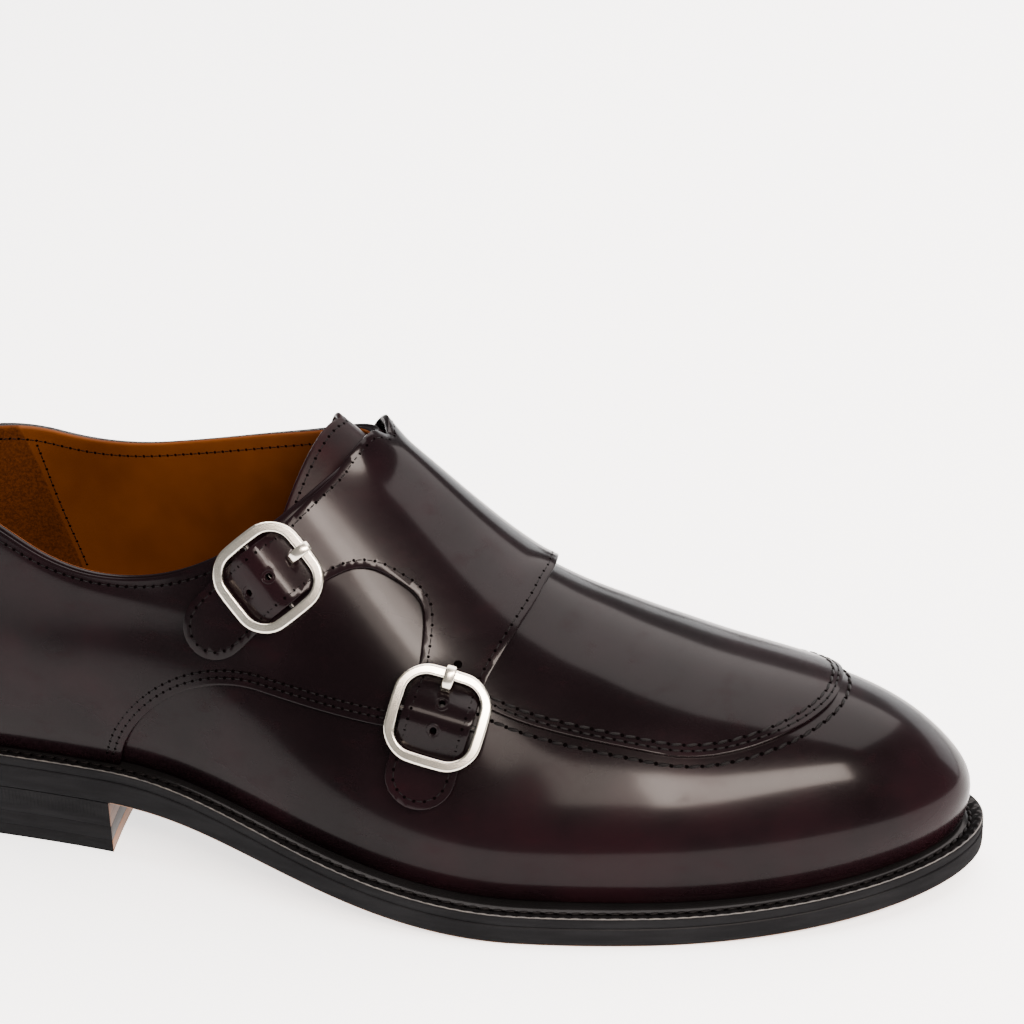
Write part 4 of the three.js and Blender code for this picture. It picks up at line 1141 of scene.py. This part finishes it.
def makeHoleRims():
    # a pressed ring round each open hole of the straps
    rims = []
    for name in straps:
        f = buckleFrames[name]
        for along in straps[name]['holes'][1:]:
            centre = circlePlaces(f, along, 0.01, 4).mean(0)
            x, turn = centre[:1], centre[1:]
            out = lastFrame(x, turn)[2][0]
            place = lifted(x, turn, cuffTop(x, turn))[0]
            deselectAll()
            bpy.ops.mesh.primitive_torus_add(major_segments=28, minor_segments=8,
                                             major_radius=strapHoles['rim'],
                                             minor_radius=strapHoles['rimThick'])
            rim = bpy.context.object
            slope = (cuffTop(*placeOf((place + f['down'])[None], x, turn)) - cuffTop(x, turn))[0]
            down = unit(f['down'] + out * slope)
            turned = coordinates(rim) @ np.array([f['across'], down, np.cross(f['across'], down)])
            setCoordinates(rim, toFrame(place - out * 0.06 + turned))
            rims.append(rim)
    deselectAll()
    for rim in rims:
        rim.select_set(True)
    bpy.context.view_layer.objects.active = rims[0]
    bpy.ops.object.join()
    rims[0].name = 'strapHoleRims'
    smoothShaded(rims[0], 80)
    return rims[0]


# finishes: a small wrapper lets node values be reckoned with as numbers
class Reading:
    def __init__(self, finish, socket):
        self.finish, self.socket = finish, socket

    def worked(self, operation, *values):
        return self.finish.node('ShaderNodeMath', dict(operation=operation), dict(enumerate(values)))

    def __add__(self, other):
        return self.worked('ADD', self, other)

    def __radd__(self, other):
        return self.worked('ADD', other, self)

    def __sub__(self, other):
        return self.worked('SUBTRACT', self, other)

    def __rsub__(self, other):
        return self.worked('SUBTRACT', other, self)

    def __mul__(self, other):
        return self.worked('MULTIPLY', self, other)

    def __rmul__(self, other):
        return self.worked('MULTIPLY', other, self)

    def sine(self):
        return self.worked('SINE', self)

    def between(self, low, high):
        # 0 below low and 1 above high, eased
        settings = dict(interpolation_type='SMOOTHSTEP')
        ends = {'Value': self, 'From Min': low, 'From Max': high}
        return self.finish.node('ShaderNodeMapRange', settings, ends)


class Finish:
    def __init__(self, name, **constants):
        self.material = bpy.data.materials.new(name)
        self.material.use_nodes = True
        self.tree = self.material.node_tree
        self.shader = self.tree.nodes['Principled BSDF']
        for key, value in constants.items():
            self.shader.inputs[key.replace('_', ' ')].default_value = value
        self.place = self.node('ShaderNodeTexCoord', {}, {}, 'Object')
        apart = self.tree.nodes.new('ShaderNodeSeparateXYZ')
        self.tree.links.new(self.place.socket, apart.inputs[0])
        self.x, self.y, self.z = [Reading(self, apart.outputs[i]) for i in range(3)]

    def node(self, kind, settings, values, output=0):
        node = self.tree.nodes.new(kind)
        for key, value in settings.items():
            setattr(node, key, value)
        for key, value in values.items():
            if isinstance(value, Reading):
                self.tree.links.new(value.socket, node.inputs[key])
            else:
                node.inputs[key].default_value = value
        return Reading(self, node.outputs[output])

    def noise(self, size, detail=2.0, roughness=0.5, stretch=(1, 1, 1)):
        # size is the width of one blotch in millimetres
        place = self.node('ShaderNodeMapping', {}, {'Vector': self.place, 'Scale': stretch})
        values = {'Vector': place, 'Scale': 1 / (size * mm), 'Detail': detail, 'Roughness': roughness}
        return self.node('ShaderNodeTexNoise', {}, values)

    def blend(self, share, low, high):
        colour = [v if isinstance(v, Reading) else (*v, 1.0) for v in (low, high)]
        values = {0: share, 6: colour[0], 7: colour[1]}
        return self.node('ShaderNodeMix', dict(data_type='RGBA'), values, 2)

    def give(self, **values):
        for key, value in values.items():
            self.tree.links.new(value.socket, self.shader.inputs[key.replace('_', ' ')])

    def bumped(self, height, depth, strength=1.0):
        # depth in millimetres for a height of one
        values = {'Height': height, 'Distance': depth * mm, 'Strength': strength}
        self.give(Normal=self.node('ShaderNodeBump', {}, values, 'Normal'))


# colours of the calf, from its deep shade to where the red shows through
calf = dict(deep=(0.0020, 0.0010, 0.0013), mid=(0.0042, 0.0021, 0.0027), red=(0.0105, 0.0018, 0.0030),
            edge=(0.034, 0.008, 0.010), blotch=46, grain=1.3, pores=0.55)


def calfLeather(name, shine=0.21, coat=0.10, redness=0.25):
    skin = Finish(name, Coat_Roughness=0.11, Specular_IOR_Level=0.025)
    broad = skin.noise(calf['blotch'], 3, 0.55)
    streaks = skin.noise(9, 3, 0.6, (1, 1, 2.2))
    grain = skin.noise(calf['grain'], 3, 0.6)
    pores = skin.noise(calf['pores'], 1, 0.5)
    base = skin.blend(broad.between(0.35, 0.65), calf['deep'], calf['mid'])
    glow = broad.between(0.5, 0.72) * redness + streaks.between(0.52, 0.75) * 0.12
    skin.give(Base_Color=skin.blend(glow, base, calf['red']))
    skin.give(Roughness=shine + streaks * 0.10 + grain * 0.06 - 0.05)
    skin.give(Coat_Weight=coat - streaks.between(0.5, 0.8) * 0.03)
    skin.bumped(grain * 0.55 + pores * 0.25 + streaks * 1.1, 0.035, 0.6)
    return skin.material


def cutEdge():
    edge = Finish('cutEdge', Specular_IOR_Level=0.25)
    fibre = edge.noise(0.5, 3, 0.6, (1, 1, 3))
    edge.give(Base_Color=edge.blend(fibre.between(0.3, 0.7), calf['mid'], calf['edge']))
    edge.give(Roughness=0.42 + fibre * 0.2)
    edge.bumped(fibre, 0.06, 0.6)
    return edge.material


def liningLeather():
    tan = Finish('liningLeather', Specular_IOR_Level=0.06)
    broad = tan.noise(26, 3, 0.55)
    nap = tan.noise(0.8, 4, 0.65)
    colour = tan.blend(broad.between(0.3, 0.7), lining['mid'], lining['light'])
    seam = (lining['seam'] + lining['seamHeight'] * lining['seamLean'] + shift[0]) * mm
    heel = 1 - (tan.x + tan.z * lining['seamLean']).between(seam - 0.4 * mm, seam + 0.4 * mm)
    suede = tan.blend(nap.between(0.3, 0.7), lining['suede'], lining['mid'])
    tan.give(Base_Color=tan.blend(heel * 0.8, colour, suede))
    tan.give(Roughness=0.5 + heel * 0.35 + nap * 0.1)
    tan.bumped(nap * (0.35 + heel * 1.2), 0.07, 0.6)
    return tan.material


def tongueLeather():
    soft = Finish('tongueLeather', Specular_IOR_Level=0.05)
    broad = soft.noise(14, 3, 0.55)
    grain = soft.noise(1.1, 3, 0.6)
    dark, glow = (0.0035, 0.0010, 0.0014), (0.008, 0.0015, 0.0022)
    soft.give(Base_Color=soft.blend(broad.between(0.35, 0.7), dark, glow))
    soft.give(Roughness=0.30 + grain * 0.12)
    soft.bumped(grain, 0.05, 0.6)
    return soft.material


def waxedThread():
    yarn = Finish('waxedThread', Specular_IOR_Level=0.06)
    twist = yarn.noise(0.35, 1)
    dark, light = (0.0010, 0.0009, 0.0010), (0.0050, 0.0042, 0.0044)
    yarn.give(Base_Color=yarn.blend(twist.between(0.35, 0.7), dark, light))
    yarn.give(Roughness=0.42 + twist * 0.2)
    yarn.bumped(twist, 0.08, 0.7)
    return yarn.material


def paintedHoleShade():
    # near-black: painted shade inside the holes
    holeShade = Finish('paintedHoleShade', Specular_IOR_Level=0.0)
    speck = holeShade.noise(0.3, 1)
    holeShade.give(Base_Color=holeShade.blend(speck, (0.0005, 0.0004, 0.0005), (0.0014, 0.001, 0.001)))
    holeShade.give(Roughness=0.85 + speck * 0.1)
    return holeShade.material


def weltLeather():
    welt = Finish('weltLeather', Coat_Roughness=0.2, Specular_IOR_Level=0.0)
    grain = welt.noise(0.9, 3, 0.6)
    broad = welt.noise(12, 2)
    welt.give(Base_Color=welt.blend(broad, (0.0024, 0.0024, 0.0025), (0.0058, 0.0055, 0.0058)))
    welt.give(Roughness=0.30 + grain * 0.18)
    welt.give(Coat_Weight=0.14 + broad * 0.12)
    welt.bumped(grain, 0.06, 0.6)
    return welt.material


def soleEdgeFinish(name, marked=False):
    # a waxed and painted edge with faint streaks along it
    edge = Finish(name, Specular_IOR_Level=0.0, Coat_Roughness=0.3)
    streaks = edge.noise(2.2, 3, 0.6, (0.12, 0.12, 1))
    specks = edge.noise(0.7, 2, 0.6)
    broad = edge.noise(30, 2)
    shade = streaks.between(0.35, 0.7) * 0.6 + broad.between(0.4, 0.7) * 0.4
    edge.give(Base_Color=edge.blend(shade, (0.0052, 0.0053, 0.0058), (0.0088, 0.0090, 0.0097)))
    edge.give(Roughness=0.40 + streaks * 0.16)
    edge.give(Coat_Weight=0.02 + specks * 0.02)
    height = streaks * 0.8 + specks * 0.3
    if marked:
        # short upright wheel marks high on the heel
        wave = (edge.x * (2 * math.pi / (1.05 * mm))).sine().between(0.1, 0.9)
        band = edge.z.between(10.6 * mm, 11.4 * mm) * (1 - edge.z.between(15.0 * mm, 15.6 * mm))
        height = height - wave * band * 2.2
    edge.bumped(height, 0.07, 0.6)
    return edge.material


def paleLine(name, low, high):
    line = Finish(name)
    fibre = line.noise(0.8, 3, 0.6, (0.3, 0.3, 1))
    line.give(Base_Color=line.blend(fibre.between(0.3, 0.7), low, high))
    line.give(Roughness=0.55 + fibre * 0.2)
    line.bumped(fibre, 0.05, 0.5)
    return line.material


def stackedLeather(name, low, high):
    stack = Finish(name)
    fibre = stack.noise(1.6, 4, 0.65, (0.3, 0.3, 2.4))
    layers = (stack.z * (2 * math.pi / (3.6 * mm))).sine().between(0.86, 0.99)
    face = stack.blend(fibre.between(0.3, 0.7), low, high)
    stack.give(Base_Color=stack.blend(layers * 0.55, face, (0.012, 0.006, 0.004)))
    stack.give(Roughness=0.5 + fibre * 0.2)
    stack.bumped(fibre - layers, 0.08, 0.6)
    return stack.material


def buckleMetal(name, low, high):
    silver = Finish(name, Metallic=1.0)
    brushed = silver.noise(0.45, 2, 0.6, (0.25, 1, 1))
    broad = silver.noise(6, 2)
    silver.give(Base_Color=silver.blend(broad, low, high))
    silver.give(Roughness=0.19 + brushed * 0.10)
    silver.bumped(brushed, 0.012, 0.5)
    return silver.material


def shares(piece):
    # each face's place on the grid it was laid from, read from the grid's own map
    loops = np.zeros(len(piece.data.loops) * 2)
    piece.data.uv_layers.active.data.foreach_get('uv', loops)
    loops = loops.reshape(-1, 2)
    starts = [p.loop_start for p in piece.data.polygons]
    totals = np.array([p.loop_total for p in piece.data.polygons])
    return np.add.reduceat(loops, starts) / totals[:, None]


def centres(piece):
    flat = np.zeros(len(piece.data.polygons) * 3)
    piece.data.polygons.foreach_get('center', flat)
    return flat.reshape(-1, 3) / mm - shift


def facing(piece):
    flat = np.zeros(len(piece.data.polygons) * 3)
    piece.data.polygons.foreach_get('normal', flat)
    return flat.reshape(-1, 3)


def dressed(piece, materials, kinds=None):
    piece.data.materials.clear()
    for material in materials:
        piece.data.materials.append(material)
    if kinds is not None:
        piece.data.polygons.foreach_set('material_index', np.asarray(kinds, int))
    piece.data.update()


def rimKept(piece, materials):
    # the rim keeps the second material that the thickness gave it
    kinds = np.zeros(len(piece.data.polygons), int)
    piece.data.polygons.foreach_get('material_index', kinds)
    dressed(piece, materials, np.minimum(kinds, 1))


print('finishes')
upperCalf = calfLeather('upperCalf')
panelCalf = calfLeather('panelCalf', shine=0.20, redness=0.28)
strapCalf = calfLeather('strapCalf', shine=0.19, redness=0.22, coat=0.11)
# the near-black finish for the holes is painted shade
edgeRaw, tan, thread, hole = cutEdge(), liningLeather(), waxedThread(), paintedHoleShade()
blackWelt, paint = weltLeather(), soleEdgeFinish('soleEdge')
heelPaint = soleEdgeFinish('heelEdge', marked=True)
tanLine = paleLine('tanLine', (0.09, 0.036, 0.012), (0.17, 0.075, 0.028))
# the welt's rounded top edge gets a pale painted highlight where its bead catches light
paintedHighlightLine = paleLine('paintedHighlightLine', (0.020, 0.020, 0.020), (0.060, 0.056, 0.050))
metal = buckleMetal('buckleMetal', (0.50, 0.465, 0.395), (0.62, 0.58, 0.50))
# the centre bar's near-black metal is painted shade for the gap under the strap
barShadeMetal = buckleMetal('barPaintedShade', (0.02, 0.019, 0.018), (0.04, 0.038, 0.036))

print('leather')
upperPiece = makeUpper()
liningStart = upperForm['outer'] + upperForm['roll'] * 0.5
dressed(upperPiece, [upperCalf, tan], shares(upperPiece)[:, 1] > liningStart)
quarterPiece, apronPiece, cuffPiece = makeQuarters(), makeApron(), makeCuff()
for piece, calfFinish in ((quarterPiece, panelCalf), (apronPiece, panelCalf), (cuffPiece, strapCalf)):
    rimKept(piece, [calfFinish, edgeRaw])
tonguePiece = makeTongue()
rimKept(tonguePiece, [tongueLeather(), edgeRaw])
insolePiece = makeInsole()
dressed(insolePiece, [tan])

print('sole and heel')
solePiece = makeSole()
middles = centres(solePiece)
nearGround = (middles[:, 2] < groundZ(middles[:, 0]) + 0.34) & (middles[:, 0] > last['breast'])
dressed(solePiece, [paint, tanLine], nearGround)
weltPiece, weltTurns, weltLength, weltCount = makeWelt()
weltRow = np.floor(shares(weltPiece)[:, 1] * (len(weltForm['rows']) - 1)).astype(int)
# row 3, the welt's rounded top edge, takes the pale painted highlight
dressed(weltPiece, [blackWelt, paint, paintedHighlightLine], (weltRow < 3) * 1 + (weltRow == 3) * 2)
breastColours = dict(
    heelTopPiece=stackedLeather('topPieceTan', (0.15, 0.060, 0.019), (0.22, 0.095, 0.034)),
    heelLift=stackedLeather('liftDark', (0.008, 0.006, 0.0055), (0.016, 0.012, 0.010)),
    heelStack=stackedLeather('stackBrown', (0.050, 0.019, 0.0075), (0.095, 0.040, 0.016)),
)
heelNodes = dict(heelTopPiece='heel_top_piece', heelLift='heel_lift', heelStack='heel_stack')
heelPieces = {}
for name, colour in breastColours.items():
    piece = makeHeelLayer(name, *heelLayers[name])
    onBreast = (facing(piece)[:, 0] > 0.6) | (facing(piece)[:, 2] < -0.7)
    dressed(piece, [heelPaint, colour], onBreast)
    heelPieces[heelNodes[name]] = piece

print('buckles')
metalPieces = {}
for name in straps:
    metalPieces[f'buckle_frame_{name}'] = makeBuckleFrame(name)
    dressed(metalPieces[f'buckle_frame_{name}'], [metal])
    metalPieces[f'buckle_prong_{name}'] = makeProng(name)

print('sewing')
seams = makeSeams() + [makeWeltStitches()]
for row in seams:
    dressed(row, [thread, hole], [p.material_index for p in row.data.polygons])
rims = makeHoleRims()
dressed(rims, [strapCalf])

# what each piece stands for, and the name of its finish
standsFor = dict(upper=(upperPiece, 'upper_leather'), quarters=(quarterPiece, 'upper_leather'),
                 apron=(apronPiece, 'upper_leather'), strap_cuff=(cuffPiece, 'upper_leather'),
                 tongue=(tonguePiece, 'tongue_leather'), insole=(insolePiece, 'lining'),
                 outsole=(solePiece, 'sole_edge'), welt=(weltPiece, 'welt_leather'))
heelSlots = dict(heel_top_piece='heel_top_piece', heel_lift='heel_dark', heel_stack='heel_stack')
standsFor.update({node: (piece, heelSlots[node]) for node, piece in heelPieces.items()})
standsFor.update({node: (piece, 'buckle_metal') for node, piece in metalPieces.items()})
for node, (piece, slot) in standsFor.items():
    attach(piece, 'root')
    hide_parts(node)
for row in seams:
    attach(row, 'root')
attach(rims, 'root')

# the studio: a pale floor that runs far back, and soft boxes
studio = dict(floor=6.0, paper=(0.92, 0.93, 0.93), sky=0.40, glow=1.95)


def makeFloor():
    deselectAll()
    bpy.ops.mesh.primitive_grid_add(x_subdivisions=8, y_subdivisions=8, size=studio['floor'])
    floor = bpy.context.object
    floor.name = 'studioFloor'
    points = coordinates(floor)
    points[:, 1] += 1.2
    setCoordinates(floor, points)
    paper = Finish('paper', Specular_IOR_Level=0.15)
    fibre = paper.noise(3, 2)
    paper.give(Base_Color=paper.blend(fibre, studio['paper'], tuple(c * 1.01 for c in studio['paper'])))
    paper.give(Roughness=0.8 + fibre * 0.1)
    paper.shader.inputs['Emission Color'].default_value = (*studio['paper'], 1)
    paper.shader.inputs['Emission Strength'].default_value = studio['glow']
    dressed(floor, [paper.material])


def softBox(name, place, target, size, power, colour=(1, 1, 1)):
    light = bpy.data.lights.new(name, 'AREA')
    light.shape = 'RECTANGLE'
    light.size, light.size_y = size
    light.energy = power
    light.color = colour
    box = bpy.data.objects.new(name, light)
    bpy.context.scene.collection.objects.link(box)
    box.location = place
    box.rotation_euler = (Vector(target) - Vector(place)).to_track_quat('-Z', 'Y').to_euler()


makeFloor()
softBox('frontBox', (0.683, -0.783, 0.87), (0.06, -0.04, 0.03), (0.83, 0.24), 41, (1, 0.85, 0.76))
softBox('fillBox', (0.262, -0.989, 0.85), (0.06, -0.04, 0.03), (0.34, 0.23), 5, (1, 0.85, 0.76))
softBox('topBox', (0.30, 0.78, 1.40), (0.30, 0.60, 0), (2.2, 2.1), 140, (1, 0.91, 0.88))
softBox('backBox', (0.80, 1.40, 0.32), (0, 0, 0.08), (1.6, 0.5), 13)
world = bpy.data.worlds.new('studio')
world.use_nodes = True
world.node_tree.nodes['Background'].inputs['Color'].default_value = (1.0, 0.995, 0.985, 1)
world.node_tree.nodes['Background'].inputs['Strength'].default_value = studio['sky']
bpy.context.scene.world = world

# the camera stands where the photograph was taken from
view = dict(place=(318.33, -638.5, 388.36), target=(140.6, 163.2, 20.0), lens=95.7)
lens = bpy.data.cameras.new('camera')
lens.lens = view['lens']
camera = bpy.data.objects.new('camera', lens)
bpy.context.scene.collection.objects.link(camera)
place, target = [Vector(toFrame(np.array(view[key]))) for key in ('place', 'target')]
camera.location = place
camera.rotation_euler = (target - place).to_track_quat('-Z', 'Y').to_euler()
bpy.context.scene.camera = camera

print('finished')
